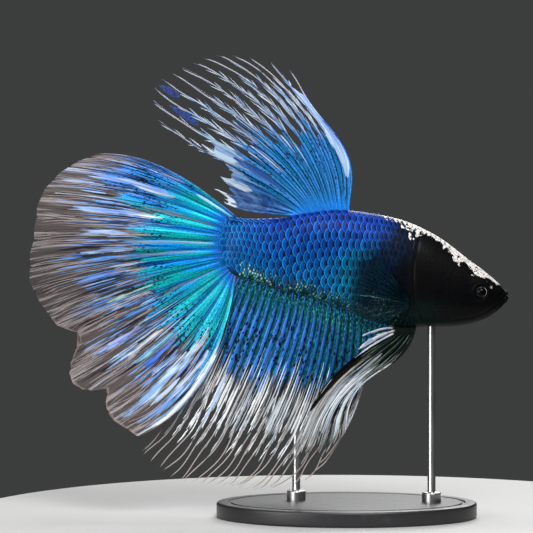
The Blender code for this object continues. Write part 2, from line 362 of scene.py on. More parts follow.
body = {
    # x, top, bottom, half width, and how much wider it is above the middle
    "rows": (
        (-24.0, 60.1, 48.4, 1.3, 0.0), (-19.0, 59.5, 47.3, 2.3, 0.08), (-13.0, 59.7, 45.4, 3.4, 0.18),
        (-7.0, 60.7, 44.0, 4.3, 0.24), (-1.0, 61.2, 41.9, 4.9, 0.24), (5.0, 60.6, 39.4, 5.4, 0.14),
        (11.0, 59.3, 37.8, 5.7, 0.02), (16.0, 57.2, 38.0, 5.6, -0.04), (20.0, 54.8, 38.0, 5.2, -0.04),
        (24.0, 51.7, 38.4, 4.5, 0.0), (27.5, 49.1, 39.5, 3.6, 0.05), (30.2, 46.8, 41.2, 2.5, 0.1),
        (31.6, 45.3, 42.6, 1.4, 0.1),
    ),
    "snout": (32.3, 44.1),
    "fullness": 0.88,
    "stalkFrom": -20.8,
    "stalkEnd": (-22.2, 1.8, 54.4, 6.2),  # x, backward bow, middle z, half height
    "gillEdge": (15.6, 2.6, 48.0, 11.5),
    "eye": (26.5, 44.9, 1.36),
    "eyeMiddleY": 3.15,
    "coat": 0.12,  # how deep the skin lies under the scales
    "around": 168,
    "headFrom": 12.0,  # rings lie closer from here on
    "rings": (15, 96, 118, 9),  # over the stalk's end, the body, the head and the lips
}
bodyTable = smoothRows(body["rows"], np.linspace(0, 1, 800))
# the stalk thins towards the tail's rays
bodyTable[:, 3] *= 1 - 0.66 * smoothStep(-bodyTable[:, 0], 19.5, 24.6)


def bodyAt(x):
    # top, bottom, half width and upper widening at x
    return [np.interp(x, bodyTable[:, 0], bodyTable[:, k]) for k in range(1, 5)]


def bowedX(edge, z):
    return edge[0] - edge[1] * (1 - ((z - edge[2]) / edge[3]) ** 2)


def ringPoint(x, around, inset=0.0):
    # around runs from 0 under the belly, by the left flank, to 0.5 on the back and 1 under the belly
    top, bottom, half, wider = bodyAt(x)
    angle = 2 * np.pi * np.asarray(around) - np.pi / 2
    side, up = np.cos(angle), np.sin(angle)
    reach = np.sign(side) * np.abs(side) ** body["fullness"] * (1 + wider * up)
    y = reach * np.maximum(half - inset, 0.1)
    z = (top + bottom) / 2 + ((top - bottom) / 2 - inset) * up
    return y, z


def segmentDistance(x, z, route):
    # distance in the side view from points to a line through the route
    best = np.full(np.shape(x), 1e9)
    for (ax, az), (bx, bz) in zip(route[:-1], route[1:]):
        length = (bx - ax) ** 2 + (bz - az) ** 2
        t = np.clip(((x - ax) * (bx - ax) + (z - az) * (bz - az)) / length, 0, 1)
        best = np.minimum(best, np.hypot(x - ax - t * (bx - ax), z - az - t * (bz - az)))
    return best


headForms = {
    "mouth": ((32.6, 44.5), (31.4, 43.8), (30.3, 42.9), (29.3, 41.9)),
    "jawFold": ((29.6, 42.4), (27.4, 40.9), (24.6, 39.9), (21.0, 39.4)),
    "cheekArc": (27.6, 46.0, 7.2),  # middle x and z, radius
    "nostril": (28.6, 45.9),
    "browRidge": ((30.0, 46.4), (27.6, 47.0), (25.2, 46.9)),
}


def headRelief(x, z):
    # how far the skin stands out or in, in millimetres, over the head
    gill = x - bowedX(body["gillEdge"], z)
    level = smoothStep(z, 37.6, 39.5) * (1 - smoothStep(z, 54.5, 57.0))
    rise = -0.09 * bell(gill + 0.05, 0.25) * level
    rise += 0.07 * smoothStep(gill, 0.0, 0.6) * (1 - smoothStep(gill, 2.0, 6.0)) * level
    arcX, arcZ, radius = headForms["cheekArc"]
    arc = np.hypot(x - arcX, z - arcZ) - radius
    behind = (1 - smoothStep(x, 23.5, 26.5)) * (1 - smoothStep(z, 48.5, 51.5))
    rise += (-0.035 * bell(arc, 0.28)
             - 0.03 * smoothStep(arc, 0.0, 1.2) * (1 - smoothStep(arc, 1.2, 3.0))) * behind
    eyeX, eyeZ, eyeRadius = body["eye"]
    eye = np.hypot(x - eyeX, z - eyeZ)
    rise += 0.16 * bell(eye - eyeRadius - 0.12, 0.3) - 0.9 * (1 - smoothStep(eye, 0.9, eyeRadius + 0.05))
    rise += 0.1 * bell(segmentDistance(x, z, headForms["browRidge"]), 0.5)
    mouth = segmentDistance(x, z, headForms["mouth"])
    rise += -0.24 * bell(mouth, 0.13) + 0.12 * bell(mouth - 0.42, 0.26) * smoothStep(x, 28.6, 30.0)
    rise += -0.12 * bell(segmentDistance(x, z, headForms["jawFold"]), 0.2)
    nostril = np.hypot(x - headForms["nostril"][0], z - headForms["nostril"][1])
    rise += 0.08 * bell(nostril - 0.34, 0.13) - 0.26 * bell(nostril, 0.18)
    return rise * smoothStep(x, 11.0, 13.0)


def bodyPlace(x, z):
    # x, depth under the back, and share of the way down, which the markings follow
    top, bottom, _, _ = bodyAt(x)
    return np.stack([x, top - z, (top - z) / (top - bottom)], -1)


def mapAround(around):
    # the bake map leaves a margin above and below
    return 0.02 + 0.96 * around


def buildSkin(material):
    count = body["around"]
    around = np.arange(count) / count
    stalkRings, bodyRings, headRings, lipRings = body["rings"]
    rings = np.concatenate([
        np.linspace(body["stalkFrom"], body["headFrom"], bodyRings)[:-1],
        np.linspace(body["headFrom"], body["rows"][-1][0], headRings),
    ])
    points = []
    # the stalk ends in a thin bowed edge over the tail's rays
    for s in np.linspace(1, 0, stalkRings)[:-1]:
        _, z = ringPoint(body["stalkFrom"], around, body["coat"])
        x = body["stalkFrom"] + (bowedX(body["stalkEnd"], z) - 1.3 - body["stalkFrom"]) * s
        y, z = ringPoint(x, around, body["coat"])
        points.append(np.stack([x, y * (1 - 0.45 * s ** 6), z], -1))
    for x in rings:
        coat = body["coat"] * (1 - smoothStep(x, 11.5, 13.5))
        y, z = ringPoint(x, around, coat)
        points.append(np.stack([np.full(count, x), y, z], -1))
    tipX, tipZ = body["snout"]
    lastY, lastZ = points[-1][:, 1], points[-1][:, 2]
    # the lips close in a round
    for s in np.linspace(0, 1, lipRings)[1:-1]:
        size = math.cos(s * math.pi / 2)
        x = rings[-1] + (tipX - rings[-1]) * math.sin(s * math.pi / 2)
        points.append(np.stack([np.full(count, x), lastY * size, tipZ + (lastZ - tipZ) * size], -1))
    grid = np.array(points)
    along = np.gradient(grid, axis=0)
    across = np.roll(grid, -1, 1) - np.roll(grid, 1, 1)
    normal = np.cross(across, along)
    normal /= np.maximum(np.linalg.norm(normal, axis=2, keepdims=True), 1e-9)
    normal *= np.sign(normal[60, count // 4, 1])
    places = bodyPlace(grid[..., 0], grid[..., 2])
    grid = grid + normal * headRelief(grid[..., 0], grid[..., 2])[..., None]
    rows = len(grid)
    flat = grid.reshape(-1, 3)
    faces = gridFaces(rows, count, closed=True)
    tail, tip = len(flat), len(flat) + 1
    flat = np.vstack([flat, [grid[0].mean(0)], [[tipX, 0, tipZ]]])
    faces += fans(rows, count, tail, tip)
    skin = meshObject("skin", flat, faces, material)
    faceOutwards(skin)
    places = np.vstack([places.reshape(-1, 3), bodyPlace(flat[-2:, 0], flat[-2:, 2])])
    store(skin, bodyPlace=places)
    # the unwrap is open along the belly, so the last column of faces ends at 1 and not at 0
    lengthwise = np.linspace(0.02, 0.98, rows)
    unwrap = np.stack(np.broadcast_arrays(lengthwise[:, None], mapAround(around)[None]), -1)
    unwrap = np.vstack([unwrap.reshape(-1, 2), [[0.005, 0.5]], [[0.995, 0.5]]])
    layer = storeBakeMap(skin, unwrap)
    for face in skin.data.polygons:
        corners = list(face.loop_indices)
        heights = [layer.data[c].uv[1] for c in corners]
        if len(corners) == 4 and max(heights) - min(heights) > 0.5:
            for c in corners:
                if layer.data[c].uv[1] < 0.5:
                    layer.data[c].uv[1] += mapAround(1) - mapAround(0)
        if len(corners) == 3:
            base = [c for c in corners if 0.01 < layer.data[c].uv[0] < 0.99]
            for c in corners:
                if c not in base:
                    layer.data[c].uv[1] = layer.data[base[0]].uv[1]
    return skin


# the body's colours

bodyColours = {
    "violet": (0.0016, 0.026, 0.25),
    "royal": (0.002, 0.042, 0.26),
    "azure": (0.002, 0.076, 0.3),
    "deep": (0.002, 0.13, 0.3),
    "teal": (0.001, 0.03, 0.034),
    "navy": (0.001, 0.006, 0.022),
    "black": (0.002, 0.0021, 0.0026),
    "throat": (0.001, 0.012, 0.009),
    "pale": (0.9, 0.86, 0.8),
}


def bump(value, middle, width, height):
    # a rounded rise of the given height
    off = (value - middle) / width
    return calc("EXPONENT", off * off * -1.0) * height


def makeBodyPaint():
    # the fish's markings, for skin and scales alike
    tree, given, out = newGroup("bodyPaint", {"Place": "Vector"}, "Colour", "Pale", "Head")
    x, depth, down = split(given["Place"])
    where = objectPlace()
    broad = noise(where, 160.0, 3.0)
    fine = noise(where, 900.0, 3.0)
    grit = noise(where, 2600.0, 2.0)
    level = down + broad * 0.3 - 0.15
    colour = mix(ramp(level, 0.04, 0.34), bodyColours["violet"], bodyColours["royal"])
    colour = mix(ramp(level, 0.38, 0.86), colour, bodyColours["azure"])
    toTail = ramp(x, -12.0, -22.5)
    colour = mix(toTail * 0.7, colour, bodyColours["azure"])
    along = ramp(level, 0.84, 0.97) * ramp(x, 12.0, 5.0)
    colour = mix(along, colour, bodyColours["teal"])
    # darker towards the head: first at mid height, last along the back
    bend = x + ramp(down, 0.04, 0.6, 0.0, 8.0)
    front = bend + fine * 3.0 - 1.5
    colour = mix(ramp(front, 4.0, 10.5) * ramp(down, 0.2, 0.5), colour, bodyColours["deep"])
    colour = mix(ramp(front, 6.6, 12.6), colour, bodyColours["navy"])
    head = ramp(front + ramp(down, 0.0, 0.5, 0.0, -3.4), 12.2, 15.6)
    throat = ramp(down, 0.62, 0.92) * ramp(x, 22.0, 14.0)
    black = mix(throat, bodyColours["black"], bodyColours["throat"])
    colour = mix(head, colour, black)
    # a pale speckled band over nape and forehead, jagged below
    width = bump(x, 13.6, 1.6, 1.5) + bump(x, 21.6, 1.6, 1.5)
    width = width + bump(x, 26.0, 2.0, 1.6) + 0.95
    width = width * ramp(x, 5.0, 13.0) * ramp(x, 31.0, 29.2)
    ragged = noise(where, 620.0, 4.0, 0.65) * 3.4 - 0.75
    over = width * ragged - depth
    pale = ramp(over, -0.05, 0.2)
    spots = ramp(noise(where, 1500.0, 1.0), 0.62, 0.66)
    pale = pale * (1.0 - spots)
    paleColour = mix(ramp(fine, 0.44, 0.7), bodyColours["pale"], (0.74, 0.7, 0.74))
    # olive flecks by the root of the ventral fins
    flecks = ramp(down, 0.72, 0.8) * ramp(x, 4.5, 7.0) * ramp(x, 12.0, 10.5) * ramp(grit, 0.54, 0.62)
    colour = mix(flecks * 0.8, colour, (0.055, 0.115, 0.07))
    # a pale dot before the eye
    dotX, dotZ = headForms["nostril"]
    wide, _, high = split(where)
    dot = fromMiddle(wide - dotX * mm, high - dotZ * mm)
    colour = mix(ramp(dot, 0.00034, 0.00018), colour, (0.42, 0.38, 0.33))
    colour = mix(pale, colour, paleColour)
    feed(colour, out["Colour"])
    feed(pale, out["Pale"])
    feed(head, out["Head"])
    return tree


bodyPaint = makeBodyPaint()


def skinMaterial():
    material, shader = newMaterial("fishSkin", Coat_Roughness=0.18, Specular_IOR_Level=0.06)
    paint = placeGroup(bodyPaint, {"Place": readAttribute("bodyPlace")})
    where = objectPlace()
    values = {"Vector": where, "Scale": 1150.0}
    cells = addNode("ShaderNodeTexVoronoi", values, feature="DISTANCE_TO_EDGE")[0]
    pores = noise(where, 2600.0, 3.0)
    height = ramp(cells, 0.0, 0.22) * 0.8 + pores * 0.5
    colour = mix(ramp(cells, 0.1, 0.0), paint["Colour"], mix(0.6, paint["Colour"], (0.0, 0.0, 0.0)))
    feed(colour, shader["Base Color"])
    feed(pores * 0.25 + 0.4, shader["Roughness"])
    feed(paint["Head"] * 0.02 + 0.03, shader["Coat Weight"])
    bumpOn(shader, height, 0.3, 0.00005)
    return material


# scales

scales = {
    "pitch": 1.38, "rowPitch": 1.86,  # between neighbours along a row, and between rows, mid body
    "length": 2.25, "height": 1.04,  # of a plate, as shares of the pitch and of the row pitch
    "thick": 0.07, "tilt": 0.115, "sunk": 0.1,
    "from": 22.0, "to": -26.5, "nape": 52.6,  # scales go on over the nape, above this height
    "patch": 0.003,  # of the bake map
}
smallScales = {
    "from": 5.5, "to": -21.5, "pitch": 0.52,
    "lowest": 0.3, "highest": 3.5, "rowPitch": 0.62,  # measured up from the line of the belly
    "length": 1.05, "half": 0.42, "bend": 0.04, "tilt": 0.34,
}


def plateMesh():
    # one scale, 1 long and 2 wide, root at the origin, free edge towards +X
    cols, rows = 9, 10
    across = np.linspace(-1, 1, cols)
    along = np.array([0.0, 0.18, 0.36, 0.5, 0.62, 0.73, 0.82, 0.9, 0.96, 1.0])
    wide = np.where(along < 0.4, 0.8 + 0.2 * np.sin(along * np.pi / 0.8),
                    np.sqrt(np.clip(1 - ((along - 0.4) / 0.6) ** 2, 0.02, 1)))
    top, place = [], []
    for b, w in zip(along, wide):
        for a in across:
            top.append((b, a * w, 0.5 - 0.6 * (a * w) ** 2 - 2.2 * max(b - 0.7, 0) ** 2))
            place.append((a * w, b, 0.0))
    count = len(top)
    bottom = [(x, y, z - 1.0) for x, y, z in top]
    faces = gridFaces(rows, cols)
    edge, strip = edgeStrip(cols, rows, count)
    faces += strip
    faces.append(tuple(count + e for e in edge))
    plate = meshObject("plate", np.array(top + bottom) / mm, faces)
    faceOutwards(plate)
    store(plate, platePlace=place + place)
    return plate


def makePlateTree():
    inputs = {"Shape": "Object", "Finish": "Material", "Patch": "Float"}
    tree, given, out = geometryTree("scalesOnSkin", inputs)
    plates = copyOnPoints(given, "plateSize")
    # each plate bends round the body
    across, _, _ = split(namedVector("platePlace"))
    drop = vectorMath("SCALE", namedVector("drop"), across * across * -1.0)
    bent = addNode("GeometryNodeSetPosition", {"Geometry": plates, "Offset": drop})
    # each scale's patch of the unwrap, round its root's place
    local = vectorMath("MULTIPLY", namedVector("platePlace"), (0.5, 1.0, 0.0))
    patch = vectorMath("SCALE", local, given["Patch"])
    dress(bakeMap(bent[0], vectorMath("ADD", namedVector("rootPlace"), patch)), given, out)
    return tree


plateTree = makePlateTree()


def halfRing(x):
    # the left half of the section at x: its y and z at a distance run down from the back
    around = np.linspace(0.5, 0.0, 81)
    y, z = ringPoint(x, around, body["coat"])
    run = np.concatenate([[0], np.cumsum(np.hypot(np.diff(y), np.diff(z)))])

    def section(reach):
        return np.array([np.interp(reach, run, y), np.interp(reach, run, z)])

    return around, section, run


def surfaceFrame(x, around):
    # a point on the body, its outward normal and the way to the tail
    def at(xx, aa):
        y, z = ringPoint(xx, aa, body["coat"])
        return np.array([xx, y, z], float)
    here = at(x, around)
    toTail = at(x - 0.3, around) - at(x + 0.3, around)
    turning = at(x, around + 0.004) - at(x, around - 0.004)
    toTail /= np.linalg.norm(toTail)
    normal = np.cross(toTail, turning)
    normal /= np.linalg.norm(normal)
    top, bottom, _, _ = bodyAt(x)
    if normal[1] * here[1] + normal[2] * (here[2] - (top + bottom) / 2) < 0:
        normal = -normal
    return here, normal, toTail


def scatterPlates(name, spots, material):
    # spots: x, around, plate length, half height, how far the plate bends, tilt
    plate = plateMesh()
    roots, turns, sizes, places, marks, drops, lots = [], [], [], [], [], [], []
    for x, around, length, half, bend, tilt in spots:
        here, normal, toTail = surfaceFrame(x, around)
        sideways = np.cross(normal, toTail)
        tilted = tilt + chance.uniform(-0.012, 0.012)
        lengthwise = toTail * math.cos(tilted) + normal * math.sin(tilted)
        upwards = np.cross(lengthwise, sideways)
        roots.append(here - toTail * length * 0.3 - normal * scales["sunk"])
        turns.append(tuple(Matrix(np.stack([lengthwise, sideways, upwards], 1).tolist()).to_euler()))
        sizes.append((length * mm, half * mm, scales["thick"] * mm))
        share = np.interp(here[0], (body["stalkEnd"][0] - 4, body["snout"][0]), (0.02, 0.98))
        places.append((share, mapAround(around), 0))
        marks.append(bodyPlace(here[0], here[2]))
        drops.append(normal * bend * mm)
        lots.append(chance.uniform(0, 1))
    coat = meshObject(name, roots)
    store(coat, turn=turns, plateSize=sizes, rootPlace=places, bodyPlace=marks, drop=drops, lot=lots)
    applyTree(coat, plateTree, {"Shape": plate, "Finish": material, "Patch": scales["patch"]})
    bpy.data.objects.remove(plate)
    smoothUpTo(coat, 60)
    print(name + ":", len(roots), "plates,", len(coat.data.polygons), "faces")
    return coat


def buildScales(material, smallMaterial):
    spots = []
    x, column = scales["from"], 0
    while x > scales["to"]:
        # smaller towards the head and over the root of the tail
        size = float(1 - 0.34 * smoothStep(x, -3.0, 8.0)
                     - 0.28 * smoothStep(-x, 13.0, 21.0) - 0.16 * smoothStep(-x, 21.0, 25.0))
        squeezed = float(1 - 0.16 * smoothStep(x, 2.0, 11.0) - 0.3 * smoothStep(-x, 12.0, 22.0))
        rowPitch = scales["rowPitch"] * squeezed
        pitch = scales["pitch"] * size
        around, section, run = halfRing(x)
        half = scales["height"] * rowPitch * min(1.0, size + 0.12)
        for row in range(column % 2, 40, 2):
            reach = row * rowPitch
            if reach > run[-1] - (0.5 if x > 7 else 2.2):
                break
            _, height = section(reach)
            gill = x - float(bowedX(body["gillEdge"], height))
            stalk = x - float(bowedX(body["stalkEnd"], height))
            if (gill > -0.4 and height < scales["nape"]) or stalk < -0.6:
                continue
            # the drop of the section's curve over the plate's half height
            above, here, below = (section(r) for r in (abs(reach - half), reach, reach + half))
            if reach < half:
                above[0] *= -1
            bend = min(float(np.linalg.norm((above + below) / 2 - here)), 0.6 * half)
            at = float(np.interp(reach, run, around))
            plate = (pitch * scales["length"], half, bend, scales["tilt"])
            spots.append((x + chance.uniform(-0.04, 0.04), at, *plate))
            if row:
                spots.append((x + chance.uniform(-0.04, 0.04), 1 - at, *plate))
        x -= pitch / 2
        column += 1
    coat = scatterPlates("scales", spots, material)
    # small scales in the last rows above the anal fin
    spots = []
    look = smallScales
    for x in np.arange(look["from"], look["to"], -look["pitch"]):
        around, _, run = halfRing(x)
        rows = np.arange(run[-1] - look["highest"], run[-1] - look["lowest"], look["rowPitch"])
        for row, reach in enumerate(rows):
            at = float(np.interp(reach + chance.uniform(-0.12, 0.12), run, around))
            for side in (at, 1 - at):
                shifted = x + look["pitch"] / 2 * (row % 2) + chance.uniform(-0.1, 0.1)
                half = look["half"] + chance.uniform(0, 0.12)
                spots.append((shifted, side, look["length"], half, look["bend"], look["tilt"]))
    return coat, scatterPlates("smallScales", spots, smallMaterial)


def scaleMaterial():
    material, shader = newMaterial("fishScales", Coat_Roughness=0.25, Specular_IOR_Level=0.07)
    paint = placeGroup(bodyPaint, {"Place": readAttribute("bodyPlace")})
    across, along, _ = split(readAttribute("platePlace"))
    lot = readAttribute("lot", "Fac")
    where = objectPlace()
    flecks = noise(where, 3200.0, 2.0)
    # distance from the scale's middle, 1 on its free edge
    radius = fromMiddle(across, (along - 0.4) / 0.6) + flecks * 0.1 - 0.05
    rim = ramp(radius, 0.77, 0.86) * ramp(radius, 0.96, 0.91)
    edge = ramp(radius, 0.91, 0.97)
    # painted shade: the part of each scale that the next scale towards the head lies over
    cover = ramp(radius, 0.48, 0.32)
    colour = tinted(paint["Colour"], mix(lot, (0.6, 0.62, 0.68), (1.25, 1.35, 1.25)))
    colour = mix(paint["Pale"], colour, paint["Colour"])
    dark = mix(0.9, colour, (0.0008, 0.002, 0.012))
    # each scale's rim is a paler blue of its own, brightened further here as a painted highlight
    bright = tinted(colour, (6.0, 4.2, 2.6))
    bright = mix(calc("MAXIMUM", paint["Pale"], paint["Head"]), bright, paint["Colour"])
    # paler in the middle of the part that shows
    colour = mix(ramp(abs(radius - 0.62), 0.1, 0.02, 0.0, 0.5), colour, tinted(colour, (1.6, 2.1, 1.8)))
    # painted shade laid over that overlapped part, weaker towards the tail
    root = ramp(split(readAttribute("bodyPlace"))[0], -19.0, -22.5, 1.0, 0.25)
    colour = mix(cover * root, colour, dark)
    # a dark dot in the middle of some scales
    dot = ramp(abs(radius - 0.46), 0.12, 0.05) * ramp(lot, 0.45, 0.65)
    colour = mix(dot * 0.55 * ramp(abs(across), 0.45, 0.2), colour, dark)
    colour = mix(rim * 0.95, colour, bright)
    colour = mix(edge, colour, dark)
    rings = calc("SINE", radius * 52.0)
    feed(colour, shader["Base Color"])
    feed(rim * 0.3, shader["Metallic"])
    feed(flecks * 0.25 + 0.38, shader["Roughness"])
    feed(paint["Head"] * -0.02 + 0.03, shader["Coat Weight"])
    bumpOn(shader, rings * 0.25 + flecks, 0.3, 0.00003)
    return material


def smallScaleMaterial():
    # bright specks of green and pale blue among dark teal
    material, shader = newMaterial("smallFishScales", Coat_Roughness=0.25)
    paint = placeGroup(bodyPaint, {"Place": readAttribute("bodyPlace")})
    across, along, _ = split(readAttribute("platePlace"))
    x, _, _ = split(readAttribute("bodyPlace"))
    lot = readAttribute("lot", "Fac")
    radius = fromMiddle(across, (along - 0.62) / 0.38)
    tint = mix(ramp(lot, 0.55, 0.57), (0.006, 0.27, 0.35), (0.08, 0.62, 0.54))
    tint = mix(ramp(lot, 0.74, 0.76), tint, (0.38, 0.86, 0.82))
    shown = ramp(radius, 0.8, 0.45) * ramp(lot, 0.24, 0.32) * ramp(x, 3.0, -2.0, 0.12, 1.0)
    colour = mix(0.6, paint["Colour"], bodyColours["teal"])
    colour = mix(ramp(radius, 0.7, 1.0), colour, (0.0006, 0.004, 0.006))
    feed(mix(shown, colour, tint), shader["Base Color"])
    feed(shown * 0.2, shader["Metallic"])
    feed(radius * 0.2 + 0.3, shader["Roughness"])
    feed(paint["Head"] * 0.06 + 0.08, shader["Coat Weight"])
    bumpOn(shader, radius, 0.2, 0.00003)
    return material


# fins: shape

rootReach = -0.03  # the fins begin a little way inside the body
lastReach = 0.995  # and nothing is placed beyond this, just short of their edge

# each row of a fan is a ray: root x, length, then its heading in degrees from +X round towards +Z,
# at even steps from root to tip; the tail's rows start with the root's height
dorsalFin = {
    "name": "dorsal_fin", "slot": "fin_blue",
    "rows": (
        (0.5, 31.6, 89, 97, 128, 124, 128), (-1.1, 36.6, 93, 107, 124, 133, 148),
        (-2.5, 40.4, 100, 113, 127, 139, 168), (-3.9, 41.2, 107, 120, 132, 144, 163),
        (-5.3, 41.0, 114, 129, 140, 146, 152), (-6.8, 40.6, 123, 138, 147, 149, 139),
        (-8.4, 34.6, 137, 147, 153, 151, 140), (-10.0, 16.8, 161, 164, 166, 164, 158),
        (-11.0, 14.0, 178, 176, 172, 163, 150),
    ),
    "rays": 17, "split": (), "web": (0.42, 0.05), "vane": 0.16, "vaneEnd": (0.66, 0.06),
    # from slit to slit, how far the web reaches there; and rays that end early
    "joined": ((0, 0, 0.3), (1, 1, 0.8), (12, 12, 0.61), (13, 13, 0.52), (14, 14, 0.7), (15, 17, 0.93)),
    "cut": {13: 0.66},
    "rayWidth": (0.22, 0.13), "kink": 0.14, "thick": (0.3, 0.09), "pleat": 0.12, "seed": 3,
    "feathers": {
        "from": 0.36, "to": 0.86, "spacing": 0.024, "length": (0.08, 0.14), "spread": (0.24, 0.56),
        "width": (0.06, 0.13), "rays": (1, 12),
        # ray, ray at the tip, from, length, width
        "blades": ((9.44, 9.4, 0.87, 0.12, 0.75), (10.52, 10.2, 0.72, 0.17, 0.8)),
    },
}
tailFin = {
    "name": "tail_fin", "slot": "fin_blue",
    "rows": (
        (60.4, 30.8, 141, 153, 184), (59.2, 35.2, 150, 162, 177), (57.4, 38.0, 162, 170, 177),
        (55.2, 38.2, 174, 178, 182), (52.9, 39.8, 183, 188, 196), (51.2, 37.8, 195, 199, 204),
        (49.9, 39.4, 217, 213, 209), (49.0, 38.4, 241, 226, 211), (47.9, 39.2, 268, 240, 204),
    ),
    "notches": ((0.69, 0.13, 0.04), (0.85, 0.10, 0.025)),  # share across the fin, depth, half width
    "rays": 15, "split": (0.14, 0.36, 0.6), "web": (0.985, 0.004), "vane": 1.0,
    "vaneEnd": (0.998, 0.001), "rayWidth": (0.25, 0.07), "kink": 0.1, "thick": (0.34, 0.08),
    "pleat": 0.13, "seed": 5,
}
analFin = {
    "name": "anal_fin", "slot": "fin_blue",
    "rows": (
        (-21.6, 41.0, 242, 247, 243, 235, 222), (-16.8, 43.4, 251, 249, 246, 238, 222),
        (-11.2, 43.2, 257, 251, 246, 238, 214), (-5.8, 42.2, 262, 255, 248, 238, 208),
        (-0.6, 40.8, 266, 258, 250, 238, 206), (4.6, 32.6, 271, 262, 252, 240, 212),
        (8.4, 10.0, 252, 244, 236, 228, 220),
    ),
    "rays": 27, "split": (), "web": (0.6, 0.04), "vane": 0.4, "vaneEnd": (0.78, 0.05),
    "rayWidth": (0.25, 0.12), "kink": 0.42, "thick": (0.32, 0.08), "pleat": 0.16, "seed": 8,
    "feathers": {
        "from": 0.44, "to": 0.8, "spacing": 0.02, "length": (0.05, 0.12), "spread": (0.1, 0.5),
        "width": (0.07, 0.15), "rays": (0, 23),
    },
}
ventralFin = {
    "name": "ventral_fin", "slot": "fin_white",
    "rows": (
        (13.7, 27.6, 258, 222, 216, 252, 246), (13.0, 30.4, 240, 221, 220, 246, 242),
        (12.2, 33.0, 222, 217, 225, 243, 244), (11.7, 34.2, 207, 212, 225, 243, 246),
        (11.3, 13.0, 201, 205, 212, 218, 224), (10.8, 8.0, 174, 180, 190, 200, 206),
    ),
    "rays": 9, "split": (0.16, 0.42), "web": (0.8, 0.05), "vane": 0.8, "vaneEnd": (0.95, 0.03),
    "joined": ((6, 6, 0.38), (7, 7, 0.3), (8, 9, 0.4)), "cut": {5: 0.78, 6: 0.56},
    "rayWidth": (0.2, 0.09), "kink": 0.1, "thick": (0.26, 0.08), "pleat": 0.08,
    "rootY": 1.5, "farShare": 0.9, "plainFrom": 6, "seed": 12,
}
pectoralFin = {
    "name": "pectoral_fin", "slot": "fin_clear",
    "rows": (
        (11.9, 10.2, 124, 128, 133), (11.7, 11.6, 150, 154, 158),
        (11.7, 11.8, 182, 181, 179), (11.9, 9.8, 212, 206, 200),
    ),
    "rays": 11, "split": (0.35, 0.68), "web": (0.93, 0.03), "vane": 1.0, "vaneEnd": (0.985, 0.01),
    "rayWidth": (0.11, 0.04), "kink": 0.05, "thick": (0.14, 0.05), "pleat": 0.05,
    "rootZ": 42.7, "rootHalf": 1.0, "seed": 17,
}


def dorsalFold(share, t):
    return t * (1.1 * np.sin(7.0 * share + 2.2 * t) + 0.9 * share)


def analFold(share, t):
    return t * (1.2 * np.sin(9.0 * share + 1.8 * t) + 0.9 * (1 - share) * (1 - t))


def tailFold(share, t):
    return -0.6 * t + t * (1.0 + 1.4 * t) * np.sin(10.5 * share + 1.5 * t - 0.6)


def pectoralFold(side):
    rootY = float(bodyAt(pectoralFin["rows"][0][0])[2]) * 0.93 + 0.8
    return lambda share, t: side * (rootY + 2.4 * t - 0.5 * t * t + 0.25 * np.sin(9 * share) * t)


def ventralFold(side):
    rootY = ventralFin["rootY"]
    return lambda share, t: side * (rootY + 2.6 * t - 1.2 * t * t + 0.35 * np.sin(7 * share) * t)


def bodyTop(share, rows):
    return bodyAt(rows[:, 0])[0] + 0.3


def bodyBottom(share, rows):
    return bodyAt(rows[:, 0])[1] - 0.3


def finSurface(rows, rootZ, fold, headings=5, shares=321, steps=140, inward=0.9):
    # the fin's middle surface as a grid that other parts sample; t below 0 reaches into the body
    share = np.linspace(0, 1, shares)
    guide = smoothRows(rows, share)
    t = (np.arange(steps) + 0.5) / steps
    # the headings are joined by the smooth curve that passes through them all
    given = np.linspace(0, 1, headings)
    curve = np.linalg.solve(np.vander(given, headings, increasing=True), guide[:, 2:2 + headings].T)
    heading = np.radians((np.vander(t, headings, increasing=True) @ curve).T)
    stepLength = guide[:, 1:2] / steps
    x = np.cumsum(np.cos(heading) * stepLength, 1) + guide[:, 0:1]
    root = rootZ(share, guide)[:, None]
    z = np.cumsum(np.sin(heading) * stepLength, 1) + root
    x = np.hstack([guide[:, 0:1] - np.cos(heading[:, :1]) * inward, guide[:, 0:1], x])
    z = np.hstack([root - np.sin(heading[:, :1]) * inward, root, z])
    reach = np.concatenate([[rootReach, 0.0], np.arange(1, steps + 1) / steps])
    y = fold(share[:, None], np.maximum(reach, 0)[None])
    grid = np.stack([x, y, z], -1)
    normal = np.cross(np.gradient(grid, axis=0), np.gradient(grid, axis=1))
    normal /= np.maximum(np.linalg.norm(normal, axis=2, keepdims=True), 1e-12)
    normal *= np.where(normal[..., 1:2] > 0, -1.0, 1.0)

    def sample(values, shareAt, reachAt):
        shareAt, reachAt = np.broadcast_arrays(shareAt, reachAt)
        i = np.clip(shareAt, 0, 1) * (shares - 1)
        j = np.interp(reachAt, reach, np.arange(len(reach)))
        i0, j0 = np.minimum(i.astype(int), shares - 2), np.minimum(j.astype(int), len(reach) - 2)
        a, b = (i - i0)[..., None], (j - j0)[..., None]
        return ((values[i0, j0] * (1 - a) + values[i0 + 1, j0] * a) * (1 - b)
                + (values[i0, j0 + 1] * (1 - a) + values[i0 + 1, j0 + 1] * a) * b)

    return lambda shareAt, reachAt: (sample(grid, shareAt, reachAt), sample(normal, shareAt, reachAt))


def rayShare(fin, ray):
    # the outer rays lie just inside the fin's edges
    margin = 0.14
    return (ray + margin) / (fin["rays"] - 1 + 2 * margin)


def cutAt(fin, ray):
    # the reach at which a ray is broken off, 1 for a whole one
    return fin.get("cut", {}).get(ray, 1.0)


